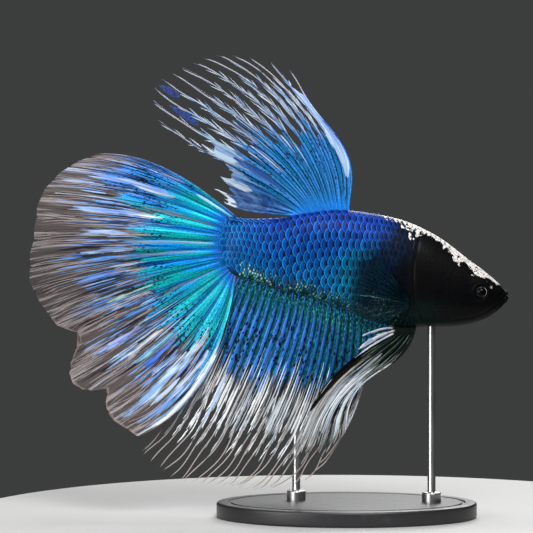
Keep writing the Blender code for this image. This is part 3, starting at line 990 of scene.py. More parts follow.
def vaneWidths(fin, dice):
    # half width of the web on each side of each ray, as a share of the ray pitch, along the ray
    rays = fin["rays"]
    slit = np.clip(fin["web"][0] + dice.normal(0, fin["web"][1], rays + 1), 0.12, 0.99)
    for first, last, reach in fin.get("joined", ()):
        slit[first:last + 1] = reach
    ends = np.clip(fin["vaneEnd"][0] + dice.normal(0, fin["vaneEnd"][1], rays), 0.3, 0.999)

    def width(ray, side, t):
        gap = slit[ray + (1 if side > 0 else 0)]
        end = min(max(ends[ray], gap + 0.008), max(cutAt(fin, ray), gap + 0.005))
        past = np.clip((t - gap) / (end - gap), 0, 1)
        opening = 0.5 * (1 - (1 - fin["vane"]) * smoothStep(t, gap, gap + 0.05))
        phase = dice.uniform(0, 6, 3)
        ragged = (1 + 0.22 * np.sin(31 * t + phase[0])
                  + 0.16 * np.sin(57 * t + phase[1]) + 0.1 * np.sin(97 * t + phase[2]))
        narrowed = opening * (1 - past ** 1.6) ** 0.6
        if fin["vane"] < 1:
            narrowed = np.minimum(narrowed * ragged, 0.48)
        outerEdge = (ray == 0 and side < 0) or (ray == rays - 1 and side > 0)
        return np.where(t < gap, 0.5, np.maximum(narrowed, 0.012)) * (0.26 if outerEdge else 1.0)

    return width


def buildWeb(fin, name, surface, material, across=3, rows=96):
    # the web between the rays: strips of skin along each ray, joined as far as the slits
    dice = np.random.default_rng(fin["seed"])
    width = vaneWidths(fin, dice)
    t = np.concatenate([[rootReach], np.linspace(0, 1, rows)])
    points, normals, places = [], [], []
    columns = np.arange(-across, across + 1) / across
    faces = []
    for ray in range(fin["rays"]):
        left, right = width(ray, -1, t), width(ray, 1, t)
        until = np.minimum(t, cutAt(fin, ray) + 0.01)
        start = len(points) * len(t)
        for c in columns:
            offset = np.where(c < 0, c * left, c * right)
            at = ray + offset
            here, normal = surface(rayShare(fin, at), np.minimum(until, lastReach))
            pleat = fin["pleat"] * np.cos(2 * np.pi * at) * smoothStep(until, 0, 0.1) * (1 - 0.6 * until)
            points.append(here + normal * pleat[:, None])
            normals.append(normal)
            places.append(np.stack([at, until, np.zeros_like(t)], -1))
        for i in range(len(columns) - 1):
            a = start + i * len(t)
            for j in range(len(t) - 1):
                faces.append((a + j, a + j + 1, a + len(t) + j + 1, a + len(t) + j))
    points, normals, places = (np.concatenate(v) for v in (points, normals, places))
    # weld the strips where they are joined
    key = np.round(points, 4)
    _, first, back = np.unique(key, axis=0, return_index=True, return_inverse=True)
    back = back.reshape(-1)
    points, normals, places = points[first], normals[first], places[first]
    welded = []
    for face in faces:
        ring = []
        for v in face:
            if back[v] not in ring:
                ring.append(int(back[v]))
        if len(ring) > 2:
            welded.append(ring)
    thick = fin["thick"][0] + (fin["thick"][1] - fin["thick"][0]) * smoothStep(places[:, 1], 0, 0.6)
    return thickSheet(name, points, normals, places, welded, thick / 2, fin["rays"], material)


def thickSheet(name, points, normals, places, faces, halfThick, rays, material):
    # closes a sheet into a thin plate; its two sides lie apart on the bake map
    count = len(points)
    a, b, c = (points[[f[k] for f in faces]] for k in (0, 1, 2))
    facing = np.cross(b - a, c - a)
    flip = np.sum(facing * normals[[f[0] for f in faces]], 1) < 0
    front = [f[::-1] if turned else f for f, turned in zip(faces, flip)]
    edges = {}
    for f in front:
        for k in range(len(f)):
            pair = (f[k], f[(k + 1) % len(f)])
            if (pair[1], pair[0]) in edges:
                edges.pop((pair[1], pair[0]))
            else:
                edges[pair] = f
    rim = [(end, start, start + count, end + count) for start, end in edges]
    solid = np.vstack([points + normals * halfThick[:, None], points - normals * halfThick[:, None]])
    everything = front + [[v + count for v in f[::-1]] for f in front] + rim
    sheet = meshObject(name, solid, everything, material)
    store(sheet, finPlace=np.vstack([places, places]))
    flatU = 0.012 + 0.47 * (places[:, 0] + 0.3) / (rays - 0.4)
    flatV = 0.015 + 0.965 * np.clip(places[:, 1] - rootReach, 0, 1 - rootReach) / (1 - rootReach)
    unwrap = np.stack([np.concatenate([flatU, flatU + 0.5]), np.concatenate([flatV, flatV])], -1)
    layer = storeBakeMap(sheet, unwrap)
    # the rim is a narrow strip beside the front
    middles = {pair: unwrap[f].mean(0) for pair, f in edges.items()}
    firstRim = 2 * len(front)
    for polygon, (pair, middle) in zip(sheet.data.polygons[firstRim:], middles.items()):
        along = unwrap[pair[1]] - unwrap[pair[0]]
        out = np.array([along[1], -along[0]])
        out = out / max(np.hypot(*out), 1e-9)
        if np.dot(out, middle - unwrap[pair[0]]) > 0:
            out = -out
        for corner in polygon.loop_indices:
            v = sheet.data.loops[corner].vertex_index
            place = unwrap[v - count if v >= count else v]
            layer.data[corner].uv = place + (out * 0.0012 if v >= count else 0)
    print(name + ":", len(everything), "faces")
    return sheet


def rayPaths(fin, dice):
    # every ray and branch as rows of (ray position, reach, radius), root first
    paths = []

    def offsetAt(signs, t):
        total = np.zeros_like(t)
        for level, sign in enumerate(signs):
            start = levels[level]
            total = total + sign * 0.5 / 2 ** (level + 1) * smoothStep(t, start, start + 0.3)
        return total

    for ray in range(fin["rays"]):
        plain = ray >= fin.get("plainFrom", 99)
        levels = () if plain else fin["split"]
        thickRoot, thickTip = (r * (1.5 if plain else 1.0) for r in fin["rayWidth"])
        tip = min(lastReach - abs(dice.normal(0, 0.008)), cutAt(fin, ray))
        sway = dice.uniform(-1, 1, 3)

        def grow(signs):
            level = len(signs)
            start = levels[level - 1] if level else 0.0
            last = level == len(levels)
            end = levels[level] if not last else tip - abs(dice.normal(0, 0.012)) * (level > 0)
            steps = max(4, int((end - start) * 46))
            t = np.linspace(start if level else rootReach, end, steps)
            wave = sway[0] * np.sin(5 * t + 3 * sway[1]) * t + 0.6 * np.sin(19 * t + 9 * sway[2]) * t ** 2
            wave += 0.5 * np.abs(np.sin(9 * t + 5 * sway[1])) * t ** 3
            at = ray + offsetAt(signs, t) + fin["kink"] * wave
            radius = (thickRoot + (thickTip - thickRoot) * np.clip(t, 0, 1) ** 0.55) * (0.86 ** level)
            radius[-1] = 0.0 if last else radius[-1]
            if last:
                radius[-2] *= 0.7
            if level == 0:
                radius[0] = 0.0
            paths.append(np.stack([at, t, radius], -1))
            if not last:
                grow(signs + [-1])
                grow(signs + [1])

        grow([])
    return paths


def makeRayTree():
    inputs = {"Sides": "Int", "Finish": "Material", "Weld": "Float"}
    tree, given, out = geometryTree("raysAlongPaths", inputs)
    line = addNode("GeometryNodeMeshToCurve", {"Mesh": given["Geometry"]})
    circle = addNode("GeometryNodeCurveArc", {
        "Resolution": given["Sides"], "Radius": 1.0, "Start Angle": 0.0, "Sweep Angle": 2 * math.pi})
    around = addNode("GeometryNodeSplineParameter")["Factor"]
    turned = storeIn(circle[0], "turned", around, "FLOAT", "POINT")
    tube = addNode("GeometryNodeCurveToMesh", {
        "Curve": line[0], "Profile Curve": turned, "Scale": namedValue("rayRadius")})
    # every ray has its own column of the bake map
    column = namedValue("turned") * namedValue("columnWidth") + namedValue("columnStart")
    mapped = bakeMap(tube[0], vector(column, namedValue("columnReach")))
    joined = addNode("GeometryNodeMergeByDistance", {"Geometry": mapped, "Distance": given["Weld"]})
    dress(joined[0], given, out)
    return tree


rayTree = makeRayTree()


def buildRays(fin, name, surface, material, sides=7):
    dice = np.random.default_rng(fin["seed"] + 100)
    paths = rayPaths(fin, dice)
    points, places, radii, edges, starts, reaches = [], [], [], [], [], []
    count = 0
    for index, path in enumerate(paths):
        here, _ = surface(rayShare(fin, path[:, 0]), path[:, 1])
        points.append(here)
        places.append(np.stack([path[:, 0], path[:, 1], np.ones(len(path))], -1))
        radii.append(path[:, 2])
        edges += [(count + k, count + k + 1) for k in range(len(path) - 1)]
        starts.append(np.full(len(path), (index + 0.1) / len(paths)))
        reaches.append(0.01 + 0.98 * np.linspace(0, 1, len(path)))
        count += len(path)
    made = meshObject(name, np.concatenate(points), edges=edges)
    store(made, finPlace=np.concatenate(places), rayRadius=np.concatenate(radii) * mm)
    store(made, columnStart=np.concatenate(starts), columnReach=np.concatenate(reaches))
    store(made, columnWidth=np.full(count, 0.8 / len(paths)))
    applyTree(made, rayTree, {"Sides": sides, "Finish": material, "Weld": 1e-6})
    faceOutwards(made)
    made.data.shade_smooth()
    print(name + ":", len(paths), "paths,", len(made.data.polygons), "faces")
    return made


def leafMesh():
    # a slim pointed leaf, 1 long and 2 wide, root at the origin, flat sides up and down
    along = np.array([0.0, 0.12, 0.3, 0.5, 0.7, 0.86, 1.0])
    wide = np.array([0.25, 0.75, 1.0, 0.95, 0.7, 0.38, 0.05])
    points, places = [], []
    for side in (1, -1):
        for b, w in zip(along, wide):
            for a in (-1, 0, 1):
                points.append((b, a * w + 0.7 * b * b, side * (0.5 if a == 0 else 0.16) * (1 - 0.6 * b)))
                places.append((a * w, b, (1 - side) / 2))
    half = len(along) * 3
    sheet = gridFaces(len(along), 3)
    faces = sheet + [tuple(v + half for v in f[::-1]) for f in sheet]
    faces += edgeStrip(3, len(along), half)[1]
    leaf = meshObject("leaf", np.array(points) / mm, faces)
    faceOutwards(leaf)
    store(leaf, leafPlace=places)
    return leaf


def makeFeatherTree():
    tree, given, out = geometryTree("feathersOnRays", {"Shape": "Object", "Finish": "Material"})
    leaves = copyOnPoints(given, "leafSize")
    # both sides of a leaf lie in its own cell of the bake map
    across, along, under = split(namedVector("leafPlace"))
    local = vector(along * 0.84 + 0.06, across * 0.21 + under * 0.48 + 0.25)
    cell = vectorMath("MULTIPLY", local, namedVector("cellSize"))
    dress(bakeMap(leaves, vectorMath("ADD", cell, namedVector("cellPlace"))), given, out)
    return tree


featherTree = makeFeatherTree()


def buildFeathers(fin, name, surface, material):
    # slips of torn web that lean towards the tip on both sides of the rays
    dice = np.random.default_rng(fin["seed"] + 300)
    look = fin["feathers"]
    first, last = look["rays"]
    spots = []
    for ray in range(first, last + 1):
        start = look["from"] + dice.normal(0, 0.02)
        for side in (-1, 1):
            t = start + dice.uniform(0, look["spacing"])
            while t < look["to"] + dice.normal(0, 0.02):
                fade = (t - start) / (look["to"] - start)
                if dice.uniform() > 0.25 + 0.75 * fade ** 2.5:
                    spots.append((ray, side, t, fade))
                t += look["spacing"] * dice.uniform(0.6, 1.5)
    ray, side, t, fade = np.array(spots).T
    count = len(spots)
    length = dice.uniform(*look["length"], count) * (1 - 0.45 * fade)
    tipRay = ray + side * dice.uniform(*look["spread"], count) * (1 - 0.4 * fade)
    wide, lot = dice.uniform(*look["width"], count), dice.uniform(0.1, 1, count)
    leaves = np.stack([ray + side * 0.03, tipRay, t, length, wide, lot], -1)
    leaves = leaves[t + length < np.array([cutAt(fin, int(r)) for r in ray])]
    # and a few broad blue ones
    leaves = np.array(leaves.tolist() + [(*blade, 0.0) for blade in look.get("blades", ())])
    count = len(leaves)
    ray, tipRay, t, length, wide, lot = leaves.T
    root, normal = surface(rayShare(fin, ray), t)
    tip, _ = surface(rayShare(fin, tipRay), np.minimum(t + length, lastReach))
    way = tip - root
    reach = np.linalg.norm(way, axis=1)
    way /= reach[:, None]
    flat = np.cross(normal, way)
    flat /= np.linalg.norm(flat, axis=1)[:, None]
    # mirrored so that each leaf curls back towards its own ray
    aside, _ = surface(rayShare(fin, ray + 0.1 * np.sign(tipRay - ray)), t)
    flat *= -np.sign(np.sum((aside - root) * flat, 1))[:, None]
    up = np.cross(way, flat)
    turns = [tuple(Matrix(np.stack(axes, 1).tolist()).to_euler()) for axes in zip(way, flat, up)]
    columns = math.ceil(math.sqrt(count))
    number = np.arange(count)
    cells = np.stack([number % columns, number // columns, np.zeros(count)], -1) / columns
    thick = np.full(count, 0.12)
    made = meshObject(name, root)
    store(made, turn=turns, leafSize=np.stack([reach, wide, thick], -1) * mm, lot=lot)
    store(made, cellSize=np.full((count, 3), 1 / columns), cellPlace=cells)
    store(made, finPlace=np.stack([(ray + tipRay) / 2, t, np.full(count, 2.0)], -1))
    leaf = leafMesh()
    applyTree(made, featherTree, {"Shape": leaf, "Finish": material})
    bpy.data.objects.remove(leaf)
    smoothUpTo(made, 50)
    print(name + ":", count, "leaves,", len(made.data.polygons), "faces")
    return made


# fins: colours

def makeLens():
    # long tapered flecks laid along the rays, each starting and ending in its own place
    tree, given, out = newGroup("lensFlecks", {
        "Ray": 0.0, "Reach": 0.0, "Density": 2.0, "Start": 0.5,
        "Spread": 0.2, "Length": 0.25, "Width": 0.6, "Seed": 0.0}, "Mask", "Lot")
    ray, reach, seed = (given[key] for key in ("Ray", "Reach", "Seed"))
    wobble = streaks(ray, reach, 5.0, 12.0, seed)
    at = ray * given["Density"] + seed * 3.7 + wobble * 0.36 - 0.18
    cell = calc("FLOOR", at)
    off = abs(at - cell - 0.5)
    dice = addNode("ShaderNodeTexWhiteNoise", {"W": cell + seed * 17.3}, noise_dimensions="1D")
    first, second, third = split(dice["Color"])
    start = given["Start"] + (first - 0.5) * given["Spread"]
    length = given["Length"] * (second + 0.5)
    run = (reach - start) / length
    curve = hump(run) ** 0.7
    half = given["Width"] * 0.5 * curve * (third * 0.9 + 0.5)
    fibre = streaks(ray, reach, 22.0, 5.0, 2.0, 2.0) * 0.5 - 0.25
    edge = half - off + fibre
    feed(ramp(edge, -0.03, 0.1) * ramp(curve, 0.0, 0.12), out["Mask"])
    feed(third, out["Lot"])
    return tree


def makeOneStreak():
    # one long streak at a given ray
    tree, given, out = newGroup("oneStreak", {
        "Ray": 0.0, "Reach": 0.0, "At": 1.0, "From": 0.3, "To": 0.6, "Width": 0.4}, "Mask")
    ray, reach = given["Ray"], given["Reach"]
    wobble = streaks(ray, reach, 3.0, 7.0, 3.0, 3.0)
    off = abs(wobble * 0.5 + ray - 0.25 - given["At"])
    run = (reach - given["From"]) / (given["To"] - given["From"])
    curve = hump(run)
    half = given["Width"] * 0.5 * curve ** 0.6
    fibre = streaks(ray, reach, 26.0, 4.0, 2.0, 2.0) * 0.34 - 0.17
    edge = half - off + fibre
    feed(ramp(edge, -0.05, 0.07) * ramp(curve, 0.0, 0.1), out["Mask"])
    return tree


lensFlecks = makeLens()
oneStreak = makeOneStreak()

finPaintInputs = {
    "Place": "Vector", "Root": (0.008, 0.12, 0.66), "Inner": (0.004, 0.31, 0.95),
    "Second": (0.003, 0.44, 0.52), "Vein": (0.16, 0.27, 0.42), "Dark": (0.001, 0.004, 0.022),
    "Streak": (0.16, 0.35, 0.86), "Pale": (0.62, 0.77, 0.94), "Outer": (0.112, 0.094, 0.09),
    "Thread": (0.5, 0.445, 0.455), "Tip": (0.45, 0.35, 0.34), "RootEnd": 0.1, "InnerEnd": 0.5,
    "Jitter": 0.22, "Lines": 0.75, "Specks": 0.8, "VeinWidth": 0.16, "VeinEnd": 0.48, "VeinShare": 0.3,
    "SpeckDensity": 7.0, "SpeckReach": 46.0, "SpeckFrom": 0.2, "Density": 5.0, "StreakAt": 0.5,
    "StreakSpread": 0.32, "StreakLength": 0.26, "StreakWidth": 0.56, "DarkAt": 0.5, "DarkLength": 0.2,
    "DarkWidth": 0.6, "OuterAlpha": 0.6, "StreakAlpha": 0.95, "InnerAlpha": 1.0, "Edges": 0.0,
    "EdgeAt": 0.24, "Coarse": 0.0, "Rim": 0.0, "Seed": 0.0,
}


def makeFinPaint():
    # one fin's colours from root to tip: solid colour, tapered streaks, then clear skin
    tree, given, out = newGroup("finPaint", finPaintInputs, "Colour", "Alpha", "Height", "Shine")
    ray, reach, kind = split(given["Place"])
    isRay = ramp(kind, 0.3, 0.7)
    seed = given["Seed"]
    shifted = ray + seed * 7.3
    cell = calc("ROUND", ray)
    off = abs(ray - cell)
    lot = addNode("ShaderNodeTexWhiteNoise", {"W": cell + seed}, noise_dimensions="1D")["Value"]
    broad = streaks(shifted, reach, 1.3, 2.2, 1.0)
    middle = streaks(shifted, reach, 4.2, 3.0, 4.0, 3.0)
    thin = streaks(shifted, reach, 12.0, 4.0, 7.0, 3.0)
    hair = streaks(shifted, reach, 24.0, 4.0, 9.0, 2.0)
    grain = streaks(shifted, reach, 18.0, 110.0, 5.0, 2.0)
    # the solid colour ends a little sooner or later on each ray
    push = (middle - 0.5 + (lot - 0.5) * 0.35) * given["Jitter"]
    pushed = reach + push * 2.0
    inner = ramp(pushed, given["InnerEnd"] + 0.035, given["InnerEnd"] - 0.035)
    solid = mix(ramp(broad, 0.42, 0.58), given["Inner"], given["Second"])
    solid = mix(ramp(reach, 0.0, given["RootEnd"]), given["Root"], solid)
    solid = tinted(solid, mix(ramp(grain, 0.36, 0.64), (0.58, 0.6, 0.66), (1.4, 1.36, 1.28)))
    solid = mix(ramp(thin, 0.54, 0.66) * 0.7, solid, tinted(solid, (3.5, 1.9, 1.35)))
    solid = mix(ramp(thin, 0.47, 0.38) * given["Lines"], solid, given["Dark"])
    beside = abs(off - given["EdgeAt"])
    beside = ramp(beside + thin * -0.1 + 0.05, 0.07, 0.02) * given["Edges"]
    solid = mix(beside * ramp(reach, 0.03, 0.12), solid, given["Dark"])
    frayed = (thin - 0.5) * 0.22 + given["VeinWidth"] - off
    bands = ramp(frayed, -0.03, 0.02) * ramp(reach, 0.02, 0.1)
    bands = bands * ramp(given["VeinShare"] - lot, -0.05, 0.0)
    bands = bands * ramp(pushed, given["VeinEnd"], given["VeinEnd"] - 0.12)
    veined = mix(ramp(grain, 0.3, 0.7), mix(0.3, given["Vein"], given["Dark"]), given["Vein"])
    solid = mix(bands * 0.85, solid, veined)
    # dark specks near the end of the solid colour
    spread = vector(shifted * given["SpeckDensity"], reach * given["SpeckReach"])
    dots = addNode("ShaderNodeTexVoronoi", {"Vector": spread, "Scale": 1.0})["Distance"]
    near = ramp(pushed, given["SpeckFrom"], given["SpeckFrom"] + 0.16)
    near = near * ramp(hair * 0.5 + dots, 0.66, 0.54)
    near = near * ramp(streaks(shifted, reach, 1.1, 5.0, 13.0), 0.38, 0.5)
    solid = mix(near * given["Specks"], solid, given["Dark"])
    # clear skin with fine threads
    threads = ramp(streaks(shifted, reach, 9.0, 2.6, 11.0, 2.0), 0.5, 0.62)
    threads = threads * (ramp(hair, 0.4, 0.6) * 0.6 + 0.4)
    clear = mix(threads, given["Outer"], given["Thread"])
    clear = mix(ramp(thin, 0.46, 0.34), clear, mix(0.7, given["Outer"], (0.002, 0.002, 0.003)))
    clear = mix(ramp(reach, 0.972, 0.99) * given["Rim"], clear, given["Tip"])
    shade = mix(0.35, given["Tip"], given["Thread"])
    colour = mix(isRay, clear, shade)
    bone = mix(0.75, solid, veined)
    colour = mix(inner, colour, mix(isRay * 0.8, solid, bone))

    def flecks(kind, density, shift, spread, width, lot):
        return placeGroup(lensFlecks, {
            "Ray": ray, "Reach": reach, "Density": given["Density"] * density,
            "Start": given[kind + "At"] + shift, "Spread": spread, "Length": given[kind + "Length"],
            "Width": given[kind + "Width"] * width, "Seed": seed + lot})

    # one set of dark flecks, and two of streaks
    dark = flecks("Dark", 1.0, 0.0, 0.22, 1.0, 0.31)
    one = flecks("Streak", 1.0, 0.0, given["StreakSpread"], 1.0, 0.0)
    two = flecks("Streak", 1.37, -0.06, given["StreakSpread"] * 1.3, 0.8, 0.57)
    colour = mix(dark["Mask"] * 0.9, colour, given["Dark"])
    gloss = mix(ramp(broad, 0.46, 0.54), given["Streak"], mix(0.55, given["Streak"], given["Inner"]))
    fine = ramp((middle - thin + 0.025) * given["Coarse"] + thin, 0.52, 0.44, 0.0, 0.92)
    # the streaks turn greyer as they run out
    faded = ramp(reach, 0.7, 0.95, 0.0, 0.55)
    for lens, low in ((one, 0.5), (two, 0.62)):
        tone = mix(ramp(lens["Lot"], low, low + 0.6), gloss, given["Pale"])
        tone = mix(faded, mix(fine, tone, given["Dark"]), given["Thread"])
        colour = mix(lens["Mask"], colour, tone)
    streak = calc("MAXIMUM", one["Mask"], two["Mask"])
    alpha = given["OuterAlpha"] + inner * (given["InnerAlpha"] - given["OuterAlpha"])
    alpha = calc("MAXIMUM", alpha, calc("MAXIMUM", streak, dark["Mask"]) * given["StreakAlpha"])
    alpha = calc("MAXIMUM", alpha, isRay, clamp=True)
    feed(colour, out["Colour"])
    feed(alpha, out["Alpha"])
    feed(thin * 0.8 + grain * inner * 0.3, out["Height"])
    feed(inner, out["Shine"])
    return tree


finPaint = makeFinPaint()

# what each fin changes in the inputs above, and its streaks: ray, from, to, width in rays, colour
finColours = {
    "dorsal_fin": {
        "Root": (0.012, 0.25, 0.88), "Inner": (0.022, 0.22, 0.7), "Second": (0.006, 0.18, 0.46),
        "Vein": (0.06, 0.36, 0.92), "Streak": (0.21, 0.35, 0.6), "Pale": (0.62, 0.73, 0.84),
        "Outer": (0.2, 0.28, 0.46), "Thread": (0.4, 0.46, 0.6), "Tip": (0.5, 0.48, 0.52),
        "InnerEnd": 0.49, "Specks": 1.0, "SpeckFrom": 0.06, "VeinWidth": 0.1, "VeinEnd": 0.55,
        "VeinShare": 1.1, "Density": 3.0, "StreakAt": 0.46, "StreakSpread": 0.3, "StreakLength": 0.3,
        "StreakWidth": 0.6, "DarkWidth": 0.5, "OuterAlpha": 0.9, "Jitter": 0.2, "Edges": 1.0,
        "Coarse": 1.0, "Seed": 1.0,
    },
    "tail_fin": {
        "RootEnd": 0.14, "VeinShare": -1.0, "SpeckFrom": 0.24, "Specks": 1.0, "Edges": 0.7,
        "EdgeAt": 0.44, "Seed": 2.0,
    },
    "anal_fin": {
        "Root": (0.001, 0.036, 0.055), "Inner": (0.001, 0.06, 0.15), "Second": (0.001, 0.075, 0.11),
        "Vein": (0.06, 0.24, 0.92), "Dark": (0.0005, 0.002, 0.008), "Streak": (0.92, 0.96, 0.99),
        "Pale": (0.96, 0.98, 0.99), "Outer": (0.034, 0.031, 0.03), "Thread": (0.26, 0.235, 0.225),
        "Tip": (0.55, 0.47, 0.45), "InnerEnd": 0.45, "Lines": 0.8, "Specks": 1.0, "SpeckDensity": 2.4,
        "SpeckReach": 38.0, "SpeckFrom": 0.05, "VeinWidth": 0.2, "VeinEnd": 0.53, "VeinShare": 1.1,
        "Density": 2.2, "StreakAt": 0.42, "StreakSpread": 0.14, "StreakLength": 0.3,
        "StreakWidth": 0.62, "DarkAt": 0.4, "DarkWidth": 0.5, "OuterAlpha": 0.2, "Jitter": 0.12,
        "Edges": 0.8, "EdgeAt": 0.28, "Coarse": 1.0, "Seed": 3.0,
    },
    "ventral_fin": {
        "Root": (0.001, 0.004, 0.003), "Inner": (0.001, 0.006, 0.005), "Second": (0.001, 0.002, 0.002),
        "Vein": (0.012, 0.026, 0.018), "Dark": (0.0006, 0.0008, 0.0008), "Streak": (0.66, 0.72, 0.76),
        "Pale": (0.9, 0.96, 0.98), "Outer": (0.2, 0.22, 0.23), "Thread": (0.4, 0.42, 0.42),
        "Tip": (0.5, 0.48, 0.48), "InnerEnd": 0.44, "Density": 3.6, "StreakAt": 0.4,
        "StreakSpread": 0.24, "StreakLength": 0.4, "StreakWidth": 0.75, "DarkAt": 0.42,
        "DarkWidth": 0.6, "VeinWidth": 0.05, "VeinEnd": 0.6, "VeinShare": 1.1, "OuterAlpha": 0.5,
        "Specks": 0.0, "Coarse": 1.0, "Seed": 4.0,
    },
    "pectoral_fin": {
        "Root": (0.002, 0.008, 0.012), "Inner": (0.001, 0.006, 0.014), "Second": (0.001, 0.008, 0.012),
        "Outer": (0.001, 0.016, 0.022), "Thread": (0.003, 0.036, 0.046), "Streak": (0.006, 0.026, 0.04),
        "Pale": (0.012, 0.05, 0.06), "Tip": (0.006, 0.022, 0.034), "Vein": (0.004, 0.02, 0.03),
        "InnerAlpha": 0.3, "StreakAlpha": 0.3, "OuterAlpha": 0.14, "InnerEnd": 0.35, "Lines": 0.3,
        "Specks": 0.0, "StreakWidth": 0.3, "Seed": 5.0,
    },
}
white, paleBlue = (0.88, 0.91, 0.93), (0.55, 0.7, 0.92)
black, mint = (0.001, 0.001, 0.001), (0.32, 0.66, 0.72)
steel, sage = (0.18, 0.29, 0.39), (0.22, 0.3, 0.22)
finStreaks = {
    "tail_fin": (
        (3.4, 0.05, 0.48, 0.28, steel), (5.75, 0.05, 0.54, 0.28, steel),
        (6.75, 0.12, 0.56, 0.24, steel), (9.6, 0.08, 0.42, 0.2, steel),
        (1.9, 0.38, 0.8, 0.36, (0.36, 0.5, 0.9)), (2.05, 0.33, 0.58, 0.22, white),
        (3.9, 0.38, 0.82, 0.36, (0.32, 0.5, 0.9)), (3.95, 0.34, 0.54, 0.2, white),
        (0.75, -0.05, 0.26, 0.5, mint), (0.45, 0.36, 0.52, 0.14, white),
        (13.97, 0.28, 1.02, 0.34, white), (14.02, 0.02, 0.42, 0.22, black),
        (13.5, 0.4, 0.94, 0.22, paleBlue), (13.0, 0.3, 0.62, 0.2, white),
        (12.95, 0.42, 0.96, 0.24, (0.6, 0.78, 0.94)), (12.5, 0.5, 0.7, 0.2, paleBlue),
        (12.1, 0.5, 0.74, 0.22, (0.1, 0.24, 0.8)), (11.7, 0.46, 0.74, 0.17, mint),
        (11.2, 0.46, 0.74, 0.15, white), (10.5, 0.56, 0.86, 0.2, (0.4, 0.5, 0.88)),
        (5.2, 0.5, 0.76, 0.24, paleBlue), (6.2, 0.48, 0.74, 0.22, paleBlue),
        (7.6, 0.55, 0.78, 0.22, (0.22, 0.38, 0.88)), (8.9, 0.42, 0.7, 0.15, (0.5, 0.7, 0.6)),
        (9.2, 0.46, 0.84, 0.13, (0.74, 0.66, 0.66)),
    ),
    "dorsal_fin": (
        (0.62, 0.18, 0.98, 1.7, (0.5, 0.66, 0.94)), (0.0, 0.14, 0.62, 0.26, (0.04, 0.26, 0.84)),
        (0.9, 0.26, 0.66, 0.4, (0.72, 0.84, 0.93)), (11.5, 0.45, 0.72, 1.2, (0.46, 0.62, 0.76)),
        (11.55, 0.18, 0.5, 0.7, (0.045, 0.125, 0.36)), (13.1, 0.42, 0.74, 0.5, (0.58, 0.7, 0.8)),
    ),
    "anal_fin": (
        (-0.12, 0.02, 0.5, 0.36, black), (0.05, 0.5, 0.94, 0.5, (0.24, 0.14, 0.12)),
        (1.0, 0.46, 0.74, 0.3, (0.3, 0.36, 0.72)), (4.0, 0.44, 0.7, 0.44, (0.62, 0.76, 0.92)),
        (18.0, 0.42, 0.66, 0.3, white), (22.0, 0.5, 0.74, 0.3, white),
    ),
    "ventral_fin": (
        (-0.1, 0.36, 1.02, 0.34, white), (0.9, 0.46, 0.98, 0.26, (0.66, 0.84, 0.95)),
        (1.9, 0.42, 0.9, 0.26, white), (2.9, 0.46, 0.9, 0.26, (0.7, 0.74, 0.76)),
        (1.4, 0.52, 1.0, 0.3, black), (0.45, 0.56, 0.92, 0.26, black), (4.75, 0.24, 0.74, 1.8, black),
        (3.7, 0.26, 0.8, 0.16, (0.6, 0.5, 0.42)), (5.3, 0.1, 0.37, 0.24, white),
        (6.0, 0.12, 0.6, 0.6, white), (7.0, 0.16, 0.96, 0.6, white), (8.0, 0.2, 1.0, 0.6, white),
        (1.4, 0.04, 0.46, 0.07, sage), (2.3, 0.06, 0.4, 0.07, sage), (3.1, 0.05, 0.44, 0.08, sage),
        (3.9, 0.06, 0.36, 0.08, sage), (4.4, 0.05, 0.3, 0.07, sage), (0.6, 0.05, 0.34, 0.07, sage),
        (2.7, 0.22, 0.5, 0.34, (0.45, 0.47, 0.48)),
    ),
    "pectoral_fin": (
        (5.2, 0.02, 0.9, 0.14, (0.16, 0.42, 0.4)), (8.2, 0.05, 0.7, 0.14, (0.1, 0.3, 0.25)),
        (9.4, 0.05, 0.5, 0.2, (0.12, 0.26, 0.2)),
    ),
}


